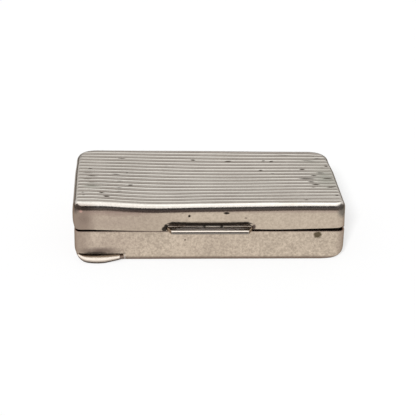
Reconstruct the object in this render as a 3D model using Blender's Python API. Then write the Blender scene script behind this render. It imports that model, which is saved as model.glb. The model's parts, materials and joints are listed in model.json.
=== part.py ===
"""Silver pocket box: a reeded lid on a seven-knuckle hinge, and a small hatch in the underside.

The frame has its origin at the middle of the underside, +X to the box's right, +Y to its back
and +Z up. Sizes are in metres.
"""
from math import cos, pi, radians, sin, sqrt, tan

import bmesh
import bpy
from mathutils import Vector

# Body of the box
WIDTH = 0.0800
DEPTH = 0.0420
HEIGHT = 0.0180
SEAM_HEIGHT = 0.0094
SEAM_GAP = 0.0003
SHEET = 0.0008
FRONT_CORNER = 0.0019
BACK_CORNER = 0.0045
TIGHTEST_CORNER = 0.0003

# Base: its ends roll under, and its long lower edges are only eased
END_ROLL_WIDTH = 0.0041
END_ROLL_HEIGHT = 0.0046
FOOT_EDGE = 0.0008

# Lid: the upper edge is rounded, wider at the front than at the sides and the back
LID_EDGE_HEIGHT = 0.0019
LID_EDGE_FRONT = 0.0022
LID_EDGE_SIDE = 0.0013
LID_EDGE_BACK = 0.0015

# Reeding on the lid
GROOVE_COUNT = 16
GROOVE_WIDTH = 0.0009
GROOVE_DEPTH = 0.00028
REEDING_FRONT_MARGIN = 0.0030
REEDING_BACK_MARGIN = 0.0036
REEDING_END_MARGIN = 0.0013

# Thumbpiece on the lid's front wall
THUMB_WALL_LENGTH = 0.0253
THUMB_EDGE_LENGTH = 0.0220
THUMB_REACH = 0.0034
THUMB_HEIGHT = 0.0012
THUMB_TOP_BEVEL = 0.0005
THUMB_LOWER_BEVEL = 0.0004

# Rim that the closed lid sits round
RIM_SHEET = 0.0007
RIM_RISE = 0.0018
RIM_DROP = 0.0024

# Lid hinge
HINGE_INSET = 0.00085
HINGE_END_MARGIN = 0.0005
HINGE_STOP_ANGLE = radians(108)
KNUCKLE_COUNT = 7
KNUCKLE_RADIUS = 0.00115
KNUCKLE_GAP = 0.00015
HINGE_PIN_RADIUS = 0.0005
PLUG_LENGTH = 0.0010
BEARER_THICKNESS = 0.0018
BEARER_HEIGHT = 0.0024

# Hatch in the underside
HATCH_LEFT_INSET = 0.0010
HATCH_WIDTH = 0.0141
HATCH_FRONT_HEIGHT = 0.0021
HATCH_HINGE_SETBACK = 0.0055
HATCH_KNUCKLE_RADIUS = 0.0009
HATCH_PIN_RADIUS = 0.0004
HATCH_KNUCKLE_COUNT = 3
HATCH_STOP_LAP = 0.0011
HATCH_STOP_SEAT = 0.0007
HATCH_STOP_SHEET = 0.0006
HATCH_STOP_HEIGHT = 0.0020

# Crescent lip on the hatch
LIP_LENGTH = 0.0138
LIP_REACH = 0.0027
LIP_END_REACH = 0.0003
LIP_ROOT_LEFT = 0.0020
LIP_ROOT_RIGHT = 0.0016
LIP_TIP_HEIGHT = 0.0005

# Compartment over the hatch
COMPARTMENT_SHEET = 0.0007
COMPARTMENT_ROOF_SHEET = 0.0006

# Fits
SOLDER_GAP = 0.0003
RUNNING_GAP = 0.0003
PIN_CLEARANCE = 0.00006
GROUND_CLEARANCE = 0.0001
OVERRUN = 0.0010

# Fineness of the curves
CORNER_STEPS = 6
EDGE_STEPS = 6
ROLL_STEPS = 9
ROUND_SIDES = 28
LIP_STATIONS = 20
SMOOTH_ANGLE = radians(32)

# Finishes of the metal, read by eye: colour and roughness
FINISHES = {
    "polished_silver": ((0.71, 0.67, 0.60), 0.28),
    "reeded_silver": ((0.76, 0.73, 0.68), 0.32),
    "bright_silver": ((0.80, 0.77, 0.71), 0.18),
    "inner_silver": ((0.66, 0.62, 0.55), 0.42),
    "hinge_silver": ((0.68, 0.64, 0.58), 0.34),
}

# Places worked out from the sizes above
HINGE_LENGTH = WIDTH - 2 * (BACK_CORNER + HINGE_END_MARGIN)
LID_RIM_HEIGHT = SEAM_HEIGHT + SEAM_GAP
HINGE_Y = DEPTH / 2 - HINGE_INSET
HINGE_Z = SEAM_HEIGHT + SEAM_GAP / 2
SWING_RADIUS = KNUCKLE_RADIUS + RUNNING_GAP
HATCH_LEFT = -WIDTH / 2 + HATCH_LEFT_INSET
HATCH_RIGHT = HATCH_LEFT + HATCH_WIDTH
HATCH_FLAT_LEFT = -WIDTH / 2 + END_ROLL_WIDTH
HATCH_HINGE_Y = DEPTH / 2 - HATCH_HINGE_SETBACK
HATCH_HINGE_Z = HATCH_KNUCKLE_RADIUS + GROUND_CLEARANCE
HATCH_SWING_RADIUS = HATCH_KNUCKLE_RADIUS + RUNNING_GAP
COMPARTMENT_RIGHT = HATCH_RIGHT + RUNNING_GAP + HATCH_STOP_SEAT + SOLDER_GAP
COMPARTMENT_TOP = SEAM_HEIGHT - max(RIM_DROP, BEARER_HEIGHT) - SOLDER_GAP


def clear_scene():
    """Removes every object of the open scene."""
    for old in list(bpy.data.objects):
        bpy.data.objects.remove(old, do_unlink=True)


def make_material(name):
    """Makes one of the finishes: a metal with one colour and one roughness."""
    colour, roughness = FINISHES[name]
    material = bpy.data.materials.new(name)
    material.use_nodes = True
    shader = material.node_tree.nodes["Principled BSDF"]
    shader.inputs["Base Color"].default_value = (*colour, 1.0)
    shader.inputs["Metallic"].default_value = 1.0
    shader.inputs["Roughness"].default_value = roughness
    return material


def make_pivot(name, y, z):
    """Makes the empty that a moving body turns about."""
    pivot = bpy.data.objects.new(name, None)
    pivot.location = (0.0, y, z)
    bpy.context.scene.collection.objects.link(pivot)
    return pivot


def make_piece(name, shape, material, location=(0.0, 0.0, 0.0), pivot=None):
    """Turns a bmesh into a named object at a place of the box's frame."""
    bmesh.ops.recalc_face_normals(shape, faces=shape.faces)
    mesh = bpy.data.meshes.new(name)
    shape.to_mesh(mesh)
    shape.free()
    mesh.shade_smooth()
    mesh.set_sharp_from_angle(angle=SMOOTH_ANGLE)
    if material:
        mesh.materials.append(material)
    piece = bpy.data.objects.new(name, mesh)
    bpy.context.scene.collection.objects.link(piece)
    offset = pivot.location if pivot else Vector()
    piece.location = Vector(location) - offset
    piece.parent = pivot
    return piece


def make_cutter(name, shape):
    """Turns a bmesh into a cutter that the build leaves out."""
    cutter = make_piece(name, shape, None)
    cutter.hide_render = True
    cutter.display_type = "WIRE"
    return cutter


def use_cutter(piece, cutter, operation="DIFFERENCE"):
    """Cuts a piece with a cutter, or keeps what is inside the cutter."""
    cut = piece.modifiers.new(cutter.name, "BOOLEAN")
    cut.operation = operation
    cut.object = cutter
    cut.solver = "EXACT"


def corner_arc(centre_x, centre_y, radius, start):
    """Points of a quarter circle in plan, turning left from a start angle."""
    angles = [start + pi / 2 * step / CORNER_STEPS for step in range(CORNER_STEPS + 1)]
    return [(centre_x + radius * cos(a), centre_y + radius * sin(a)) for a in angles]


def plan_outline(side, front, back, height):
    """One level of the body's outline, drawn in from the sides, the front and the back."""
    half = WIDTH / 2 - side
    front_radius = max(FRONT_CORNER - min(side, front), TIGHTEST_CORNER)
    back_radius = max(BACK_CORNER - min(side, back), TIGHTEST_CORNER)
    front_y = -DEPTH / 2 + front + front_radius
    back_y = DEPTH / 2 - back - back_radius
    front_x = half - front_radius
    back_x = half - back_radius
    points = corner_arc(-front_x, front_y, front_radius, pi)
    points += corner_arc(front_x, front_y, front_radius, 3 * pi / 2)
    points += corner_arc(back_x, back_y, back_radius, 0.0)
    points += corner_arc(-back_x, back_y, back_radius, pi / 2)
    return [Vector((x, y, height)) for x, y in points]


def skin_rings(shape, rings, close_start, close_end):
    """Joins a row of closed rings with faces, and caps its ends where asked."""
    loops = [[shape.verts.new(point) for point in ring] for ring in rings]
    for lower, upper in zip(loops, loops[1:]):
        for index in range(len(lower)):
            following = (index + 1) % len(lower)
            shape.faces.new((lower[index], lower[following], upper[following], upper[index]))
    if close_start:
        shape.faces.new(loops[0][::-1])
    if close_end:
        shape.faces.new(loops[-1])
    return loops


def quarter(steps):
    """Angles from 0 to 90 degrees."""
    return [pi / 2 * step / steps for step in range(steps + 1)]


def base_shape():
    """The tray: outside, then over the upper edge and down the inside."""
    outside = []
    for angle in reversed(quarter(ROLL_STEPS)):
        height = END_ROLL_HEIGHT * (1 - sin(angle))
        reach = max(FOOT_EDGE - height, 0.0)
        ease = FOOT_EDGE - sqrt(FOOT_EDGE ** 2 - reach ** 2)
        outside.append(plan_outline(END_ROLL_WIDTH * (1 - cos(angle)), ease, ease, height))
    outside.append(plan_outline(0.0, 0.0, 0.0, SEAM_HEIGHT))
    inside = [plan_outline(SHEET, SHEET, SHEET, SEAM_HEIGHT)]
    for angle in quarter(ROLL_STEPS):
        side = SHEET + (END_ROLL_WIDTH - SHEET) * (1 - cos(angle))
        height = END_ROLL_HEIGHT - (END_ROLL_HEIGHT - SHEET) * sin(angle)
        inside.append(plan_outline(side, SHEET, SHEET, height))
    shape = bmesh.new()
    skin_rings(shape, outside + inside, True, True)
    return shape


def lid_shape():
    """The lid: inside from the top down, over the lower edge and up the outside."""
    inside = []
    outside = []
    for angle in quarter(EDGE_STEPS):
        inner = [SHEET + (width - SHEET) * (1 - cos(angle))
                 for width in (LID_EDGE_SIDE, LID_EDGE_FRONT, LID_EDGE_BACK)]
        outer = [width * (1 - cos(angle))
                 for width in (LID_EDGE_SIDE, LID_EDGE_FRONT, LID_EDGE_BACK)]
        spring = HEIGHT - LID_EDGE_HEIGHT
        inside.append(plan_outline(*inner, spring + (LID_EDGE_HEIGHT - SHEET) * sin(angle)))
        outside.append(plan_outline(*outer, spring + LID_EDGE_HEIGHT * sin(angle)))
    inside.reverse()
    inside.append(plan_outline(SHEET, SHEET, SHEET, LID_RIM_HEIGHT))
    outside.insert(0, plan_outline(0.0, 0.0, 0.0, LID_RIM_HEIGHT))
    shape = bmesh.new()
    skin_rings(shape, inside + outside, True, True)
    return shape


def prism_shape(plan, low, high):
    """A plan outline raised from one height to another."""
    shape = bmesh.new()
    rings = [[Vector((x, y, z)) for x, y in plan] for z in (low, high)]
    skin_rings(shape, rings, True, True)
    return shape


def block_shape(size_x, size_y, size_z):
    """A block about its own middle."""
    plan = [(-size_x / 2, -size_y / 2), (size_x / 2, -size_y / 2),
            (size_x / 2, size_y / 2), (-size_x / 2, size_y / 2)]
    return prism_shape(plan, -size_z / 2, size_z / 2)


def rod_rings(radius, length):
    """The two end circles of a rod along X, about its own middle."""
    turn = [2 * pi * side / ROUND_SIDES for side in range(ROUND_SIDES)]
    return [[Vector((x, radius * cos(a), radius * sin(a))) for a in turn]
            for x in (-length / 2, length / 2)]


def rod_shape(radius, length):
    """A plain rod along X."""
    shape = bmesh.new()
    skin_rings(shape, rod_rings(radius, length), True, True)
    return shape


def tube_shape(radius, bore, length):
    """A tube along X: its bore, then its outside, joined at both ends."""
    shape = bmesh.new()
    loops = skin_rings(shape, rod_rings(bore, length) + rod_rings(radius, length)[::-1],
                       False, False)
    for index in range(ROUND_SIDES):
        following = (index + 1) % ROUND_SIDES
        shape.faces.new((loops[-1][index], loops[-1][following],
                         loops[0][following], loops[0][index]))
    return shape


def reeding_shape():
    """Wedges that cut the grooves, one for each groove, from the front to the back."""
    shape = bmesh.new()
    half = WIDTH / 2 - REEDING_END_MARGIN
    first = -DEPTH / 2 + REEDING_FRONT_MARGIN
    last = DEPTH / 2 - REEDING_BACK_MARGIN
    for groove in range(GROOVE_COUNT):
        y = first + (last - first) * groove / (GROOVE_COUNT - 1)
        wedge = ((y - GROOVE_WIDTH, HEIGHT + GROOVE_DEPTH), (y, HEIGHT - GROOVE_DEPTH),
                 (y + GROOVE_WIDTH, HEIGHT + GROOVE_DEPTH))
        rings = [[Vector((x, *corner)) for corner in wedge] for x in (-half, half)]
        skin_rings(shape, rings, True, True)
    return shape


def hinge_channel_shape():
    """Room for the knuckles along the hinge."""
    return rod_shape(SWING_RADIUS, HINGE_LENGTH + 2 * RUNNING_GAP)


def hinge_notch_shape():
    """A wedge that opens to the back from the pin's axis, so that the walls behind it can turn.

    It runs on past the hinge to where the rounded corners pass in front of the axis.
    """
    behind = max(BACK_CORNER - HINGE_INSET, 0.0)
    reach = WIDTH / 2 - BACK_CORNER + sqrt(BACK_CORNER ** 2 - behind ** 2) + RUNNING_GAP
    depth = HINGE_INSET + OVERRUN
    rise = depth * tan(HINGE_STOP_ANGLE / 2)
    wedge = ((0.0, 0.0), (depth, -rise), (depth, rise))
    shape = bmesh.new()
    rings = [[Vector((x, *corner)) for corner in wedge] for x in (-reach, reach)]
    skin_rings(shape, rings, True, True)
    return shape


def make_hinge_cutters():
    """The channel, which both shells and both bearers share, and the shells' notch."""
    cutters = (make_cutter("hinge_channel", hinge_channel_shape()),
               make_cutter("hinge_notch", hinge_notch_shape()))
    for cutter in cutters:
        cutter.location = (0.0, HINGE_Y, HINGE_Z)
    return cutters


def make_base(materials, hinge_cutters):
    """The tray, with room cut for the hinge and the hatch."""
    base = make_piece("base_shell", base_shape(), materials["polished_silver"])
    for cutter in hinge_cutters:
        use_cutter(base, cutter)
    use_cutter(base, make_cutter("hatch_opening", hatch_opening_shape()))


def make_lid(materials, pivot, hinge_cutters):
    """The lid, with room cut for the hinge and with its reeding."""
    shape = lid_shape()
    bmesh.ops.translate(shape, verts=shape.verts, vec=-pivot.location)
    lid = make_piece("lid_shell", shape, materials["reeded_silver"], pivot.location, pivot)
    for cutter in hinge_cutters:
        use_cutter(lid, cutter)
    use_cutter(lid, make_cutter("reeding", reeding_shape()))


def make_rim(materials):
    """The upright rim inside the base's front and sides, bent from one strip."""
    outer = SHEET + SOLDER_GAP
    inner = outer + RIM_SHEET
    arm_end = DEPTH / 2 - BACK_CORNER
    plan = []
    for inset, order in ((outer, 1), (inner, -1)):
        radius = max(FRONT_CORNER - inset, TIGHTEST_CORNER)
        x = WIDTH / 2 - inset - radius
        y = -DEPTH / 2 + inset + radius
        side = [(-WIDTH / 2 + inset, arm_end)]
        side += corner_arc(-x, y, radius, pi) + corner_arc(x, y, radius, 3 * pi / 2)
        side.append((WIDTH / 2 - inset, arm_end))
        plan += side[::order]
    shape = prism_shape(plan, SEAM_HEIGHT - RIM_DROP, SEAM_HEIGHT + RIM_RISE)
    make_piece("base_rim", shape, materials["inner_silver"])


def make_thumbpiece(materials, pivot):
    """The bar on the lid's front wall, with bevelled ends and a bevelled front."""
    profile = ((0.0, 0.0), (0.0, THUMB_HEIGHT), (THUMB_REACH - THUMB_TOP_BEVEL, THUMB_HEIGHT),
               (THUMB_REACH, THUMB_HEIGHT - THUMB_TOP_BEVEL), (THUMB_REACH, THUMB_LOWER_BEVEL),
               (THUMB_REACH - THUMB_LOWER_BEVEL, 0.0))
    rings = []
    for side in (-1, 1):
        ring = []
        for reach, rise in profile:
            taper = (THUMB_WALL_LENGTH - THUMB_EDGE_LENGTH) / 2 * reach / THUMB_REACH
            ring.append(Vector((side * (THUMB_WALL_LENGTH / 2 - taper), -reach, rise)))
        rings.append(ring)
    shape = bmesh.new()
    skin_rings(shape, rings, True, True)
    location = (0.0, -DEPTH / 2 - SOLDER_GAP, LID_RIM_HEIGHT)
    make_piece("thumbpiece", shape, materials["bright_silver"], location, pivot)


def make_bearer(name, materials, side, channel, pivot=None):
    """A strip inside a back wall, hollowed along the hinge. Side is 1 above the seam."""
    y = DEPTH / 2 - SHEET - SOLDER_GAP - BEARER_THICKNESS / 2
    seam = LID_RIM_HEIGHT if side > 0 else SEAM_HEIGHT
    shape = block_shape(HINGE_LENGTH, BEARER_THICKNESS, BEARER_HEIGHT)
    location = (0.0, y, seam + side * BEARER_HEIGHT / 2)
    bearer = make_piece(name, shape, materials["inner_silver"], location, pivot)
    use_cutter(bearer, channel)


def make_lid_hinge(materials, pivot):
    """Seven lengths of tube in turn on the base and on the lid, their pin and its plugs."""
    pitch = HINGE_LENGTH / KNUCKLE_COUNT
    bore = HINGE_PIN_RADIUS + PIN_CLEARANCE
    for index in range(KNUCKLE_COUNT):
        on_lid = index % 2 == 1
        name = f"{'lid' if on_lid else 'base'}_knuckle_{index // 2 + 1}"
        x = pitch * (index - (KNUCKLE_COUNT - 1) / 2)
        shape = tube_shape(KNUCKLE_RADIUS, bore, pitch - KNUCKLE_GAP)
        location = (x, HINGE_Y, HINGE_Z)
        make_piece(name, shape, materials["hinge_silver"], location, pivot if on_lid else None)
    pin_length = HINGE_LENGTH - KNUCKLE_GAP - 2 * (PLUG_LENGTH + SOLDER_GAP)
    pin = rod_shape(HINGE_PIN_RADIUS, pin_length)
    make_piece("hinge_pin", pin, materials["hinge_silver"], (0.0, HINGE_Y, HINGE_Z))
    plug_x = (HINGE_LENGTH - KNUCKLE_GAP - PLUG_LENGTH) / 2
    for name, side in (("hinge_plug_left", -1), ("hinge_plug_right", 1)):
        plug = rod_shape(HINGE_PIN_RADIUS, PLUG_LENGTH)
        make_piece(name, plug, materials["hinge_silver"], (side * plug_x, HINGE_Y, HINGE_Z))


def hatch_side_setback():
    """How far in front of its pin the hatch ends beside the hinge, to clear the base's edge."""
    return sqrt(HATCH_SWING_RADIUS ** 2 + HATCH_HINGE_Z ** 2) + RUNNING_GAP


def hatch_shape():
    """What the hatch takes out of the tray: narrower at the hinge than in front of it."""
    front = -DEPTH / 2 - OVERRUN
    back = HATCH_HINGE_Y - HATCH_SWING_RADIUS
    side_back = HATCH_HINGE_Y - hatch_side_setback()
    plan = [(HATCH_LEFT, front), (HATCH_RIGHT, front), (HATCH_RIGHT, back),
            (HATCH_FLAT_LEFT, back), (HATCH_FLAT_LEFT, side_back), (HATCH_LEFT, side_back)]
    return prism_shape(plan, -OVERRUN, HATCH_FRONT_HEIGHT)


def hatch_opening_shape():
    """The opening in the tray: the hatch with its running gap, and room for its knuckles."""
    front = -DEPTH / 2 - OVERRUN
    back = HATCH_HINGE_Y + HATCH_SWING_RADIUS
    side_back = HATCH_HINGE_Y - HATCH_SWING_RADIUS
    left = HATCH_LEFT - RUNNING_GAP
    right = HATCH_RIGHT + RUNNING_GAP
    flat_left = HATCH_FLAT_LEFT - RUNNING_GAP
    plan = [(left, front), (right, front), (right, back), (flat_left, back),
            (flat_left, side_back), (left, side_back)]
    return prism_shape(plan, -OVERRUN, HATCH_FRONT_HEIGHT + RUNNING_GAP)


def make_hatch(materials, pivot):
    """The plate that closes the opening, made as the tray's own wall inside the hatch's edges."""
    shape = base_shape()
    bmesh.ops.translate(shape, verts=shape.verts, vec=-pivot.location)
    plate = make_piece("hatch_plate", shape, materials["polished_silver"], pivot.location, pivot)
    use_cutter(plate, make_cutter("hatch_outline", hatch_shape()), "INTERSECT")


def make_lip(materials, pivot):
    """The crescent lip: its top falls in a curve from the wall to a thin edge."""
    shape = bmesh.new()
    rings = []
    for station in range(LIP_STATIONS + 1):
        turn = pi * station / LIP_STATIONS
        reach = LIP_END_REACH + (LIP_REACH - LIP_END_REACH) * sin(turn)
        root = LIP_ROOT_LEFT + (LIP_ROOT_RIGHT - LIP_ROOT_LEFT) * station / LIP_STATIONS
        fall = (root - LIP_TIP_HEIGHT) * sqrt(max(sin(turn), 0.0))
        x = -LIP_LENGTH / 2 * cos(turn)
        ring = [Vector((x, 0.0, 0.0))]
        for angle in quarter(EDGE_STEPS):
            ring.append(Vector((x, -reach * sin(angle), LIP_TIP_HEIGHT + fall * cos(angle))))
        ring.append(Vector((x, -reach, 0.0)))
        rings.append(ring)
    skin_rings(shape, rings, True, True)
    x = (HATCH_LEFT + HATCH_RIGHT) / 2
    location = (x, -DEPTH / 2 - SOLDER_GAP, GROUND_CLEARANCE)
    make_piece("hatch_lip", shape, materials["bright_silver"], location, pivot)


def make_hatch_hinge(materials, pivot):
    """Three short tubes along the hatch's back edge, the middle one its own, and their pin."""
    length = HATCH_RIGHT - HATCH_FLAT_LEFT
    pitch = length / HATCH_KNUCKLE_COUNT
    middle = (HATCH_RIGHT + HATCH_FLAT_LEFT) / 2
    bore = HATCH_PIN_RADIUS + PIN_CLEARANCE
    names = ("hatch_base_knuckle_left", "hatch_knuckle", "hatch_base_knuckle_right")
    for index, name in enumerate(names):
        x = middle + pitch * (index - 1)
        shape = tube_shape(HATCH_KNUCKLE_RADIUS, bore, pitch - KNUCKLE_GAP)
        carrier = pivot if name == "hatch_knuckle" else None
        location = (x, HATCH_HINGE_Y, HATCH_HINGE_Z)
        make_piece(name, shape, materials["hinge_silver"], location, carrier)
    pin = rod_shape(HATCH_PIN_RADIUS, length - KNUCKLE_GAP)
    make_piece("hatch_hinge_pin", pin, materials["hinge_silver"], (middle, HATCH_HINGE_Y, HATCH_HINGE_Z))


def make_hatch_stops(materials):
    """Ledges that the closed hatch rests against, at its right side and its front."""
    front = -DEPTH / 2 + SHEET + SOLDER_GAP
    back = HATCH_HINGE_Y - HATCH_SWING_RADIUS
    side_front = front + HATCH_STOP_SHEET + SOLDER_GAP
    left = HATCH_RIGHT - HATCH_STOP_LAP
    right = HATCH_RIGHT + RUNNING_GAP + HATCH_STOP_SEAT
    shape = block_shape(right - left, back - side_front, HATCH_STOP_SHEET)
    location = ((left + right) / 2, (back + side_front) / 2,
                SHEET + SOLDER_GAP + HATCH_STOP_SHEET / 2)
    make_piece("hatch_stop_side", shape, materials["inner_silver"], location)
    gap_middle = HATCH_FRONT_HEIGHT + RUNNING_GAP / 2
    shape = block_shape(right - HATCH_FLAT_LEFT, HATCH_STOP_SHEET, HATCH_STOP_HEIGHT)
    location = ((right + HATCH_FLAT_LEFT) / 2, front + HATCH_STOP_SHEET / 2, gap_middle)
    make_piece("hatch_stop_front", shape, materials["inner_silver"], location)


def make_compartment(materials):
    """The partition and the roof over the hatch."""
    floor = SHEET + SOLDER_GAP
    depth = DEPTH - 2 * (SHEET + SOLDER_GAP)
    roof_bottom = COMPARTMENT_TOP - COMPARTMENT_ROOF_SHEET
    height = roof_bottom - SOLDER_GAP - floor
    shape = block_shape(COMPARTMENT_SHEET, depth, height)
    location = (COMPARTMENT_RIGHT + COMPARTMENT_SHEET / 2, 0.0, floor + height / 2)
    make_piece("compartment_partition", shape, materials["inner_silver"], location)
    inset = SHEET + SOLDER_GAP
    front_radius = max(FRONT_CORNER - inset, TIGHTEST_CORNER)
    back_radius = BACK_CORNER - inset
    left = -WIDTH / 2 + inset
    right = COMPARTMENT_RIGHT + COMPARTMENT_SHEET
    plan = [(right, depth / 2)]
    plan += corner_arc(left + back_radius, depth / 2 - back_radius, back_radius, pi / 2)
    plan += corner_arc(left + front_radius, -depth / 2 + front_radius, front_radius, pi)
    plan.append((right, -depth / 2))
    shape = prism_shape(plan, roof_bottom, COMPARTMENT_TOP)
    make_piece("compartment_roof", shape, materials["inner_silver"])


def main():
    """Builds the box from its base up."""
    clear_scene()
    materials = {name: make_material(name) for name in FINISHES}
    lid_pivot = make_pivot("lid_pivot", HINGE_Y, HINGE_Z)
    hatch_pivot = make_pivot("hatch_pivot", HATCH_HINGE_Y, HATCH_HINGE_Z)
    hinge_cutters = make_hinge_cutters()
    make_base(materials, hinge_cutters)
    make_rim(materials)
    make_bearer("base_hinge_bearer", materials, -1, hinge_cutters[0])
    make_compartment(materials)
    make_hatch_stops(materials)
    make_lid(materials, lid_pivot, hinge_cutters)
    make_thumbpiece(materials, lid_pivot)
    make_bearer("lid_hinge_bearer", materials, 1, hinge_cutters[0], lid_pivot)
    make_lid_hinge(materials, lid_pivot)
    make_hatch(materials, hatch_pivot)
    make_lip(materials, hatch_pivot)
    make_hatch_hinge(materials, hatch_pivot)


main()
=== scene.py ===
"""Looks of a silver pocket box: a reeded lid, a bar thumbpiece and a hatch with a crescent lip.

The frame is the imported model's. Its origin is the middle of the underside, +X is the box's
right, +Y its hinged back and +Z up. Lengths are in metres.
"""

import json
import logging
from dataclasses import dataclass
from enum import Enum
from math import asin, cos, pi, radians, sin, sqrt, tan
from typing import Optional, Union

import bpy
import numpy as np
from mathutils import Matrix, Vector


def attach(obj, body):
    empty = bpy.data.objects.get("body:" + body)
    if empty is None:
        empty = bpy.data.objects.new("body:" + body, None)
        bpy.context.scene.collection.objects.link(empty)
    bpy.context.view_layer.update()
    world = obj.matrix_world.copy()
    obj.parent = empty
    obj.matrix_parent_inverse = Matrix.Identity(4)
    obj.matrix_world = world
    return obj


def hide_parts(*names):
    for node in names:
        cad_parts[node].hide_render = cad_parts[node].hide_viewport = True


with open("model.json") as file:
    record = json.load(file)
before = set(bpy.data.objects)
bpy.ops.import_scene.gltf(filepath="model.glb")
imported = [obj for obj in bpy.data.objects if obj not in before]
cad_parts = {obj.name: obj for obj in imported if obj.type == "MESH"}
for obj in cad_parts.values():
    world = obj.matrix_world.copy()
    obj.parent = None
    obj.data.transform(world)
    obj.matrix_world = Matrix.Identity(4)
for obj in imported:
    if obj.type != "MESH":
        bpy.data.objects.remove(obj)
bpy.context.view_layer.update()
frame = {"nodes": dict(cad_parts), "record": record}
MM = 0.001

Colour = tuple[float, float, float]
Socket = bpy.types.NodeSocket
Value = Union[Socket, float, tuple]

EDGE_TINT = (0.50, 0.46, 0.42, 1.0)

log = logging.getLogger("silver_box")


class Body(Enum):
    """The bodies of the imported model."""

    BASE = "base"
    LID = "lid"
    HATCH = "hatch"


class Slot(Enum):
    """The record's material slots."""

    POLISHED = "polished_silver"
    REEDED = "reeded_silver"
    BRIGHT = "bright_silver"
    INNER = "inner_silver"
    HINGE = "hinge_silver"


class Stretch(Enum):
    """The eight stretches of the box's outline, turning left from its front."""

    FRONT = 0
    FRONT_RIGHT = 1
    RIGHT = 2
    BACK_RIGHT = 3
    BACK = 4
    BACK_LEFT = 5
    LEFT = 6
    FRONT_LEFT = 7


def smooth(values: np.ndarray, low: float, high: float) -> np.ndarray:
    """Rises smoothly from 0 at low to 1 at high.

    Args:
        values: The values to weigh.
        low: Where the result is 0.
        high: Where the result is 1. It may be less than low.

    Returns:
        The weights, from 0 to 1.
    """
    share = np.clip((values - low) / (high - low), 0.0, 1.0)
    return share * share * (3.0 - 2.0 * share)


class Nodes:
    """A node tree, with short ways to add and join its nodes."""

    def __init__(self, tree: bpy.types.NodeTree) -> None:
        """Takes the tree to build in.

        Args:
            tree: The node tree.
        """
        self.tree = tree

    def feed(self, socket: Socket, value: Value) -> None:
        """Links a socket to another one, or sets its value.

        Args:
            socket: The input to feed.
            value: An output to link, or a plain value.
        """
        if isinstance(value, Socket):
            self.tree.links.new(value, socket)
        else:
            socket.default_value = value

    def add(self, kind: str, feeds: dict, **settings: object) -> bpy.types.Node:
        """Adds a node.

        Args:
            kind: The node's type.
            feeds: What goes into its inputs, by name or number.
            **settings: The node's own settings.

        Returns:
            The node.
        """
        node = self.tree.nodes.new(kind)
        for name, value in settings.items():
            setattr(node, name, value)
        for key, value in feeds.items():
            self.feed(node.inputs[key], value)
        return node

    def math(self, operation: str, *values: Value, clamp: bool = False) -> Socket:
        """Adds a Math node.

        Args:
            operation: What it does.
            *values: Its inputs.
            clamp: Whether its result stays from 0 to 1.

        Returns:
            Its output.
        """
        feeds = dict(enumerate(values))
        return self.add("ShaderNodeMath", feeds, operation=operation, use_clamp=clamp).outputs[0]

    def rise(self, value: Value, low: Value, high: Value, start: float = 0.0, end: float = 1.0) -> Socket:
        """Maps a value smoothly from one range to another.

        Args:
            value: The value to map.
            low: Where the result is start.
            high: Where the result is end.
            start: The result at low.
            end: The result at high.

        Returns:
            The mapped value.
        """
        feeds = {0: value, 1: low, 2: high, 3: start, 4: end}
        return self.add("ShaderNodeMapRange", feeds, interpolation_type="SMOOTHSTEP").outputs[0]

    def times(self, first: Value, second: Value) -> Socket:
        """Multiplies two values."""
        return self.math("MULTIPLY", first, second)

    def total(self, *values: Value) -> Socket:
        """Adds up several values.

        Args:
            *values: What is added up.

        Returns:
            The sum.
        """
        result = values[0]
        for value in values[1:]:
            result = self.math("ADD", result, value)
        return result


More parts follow.
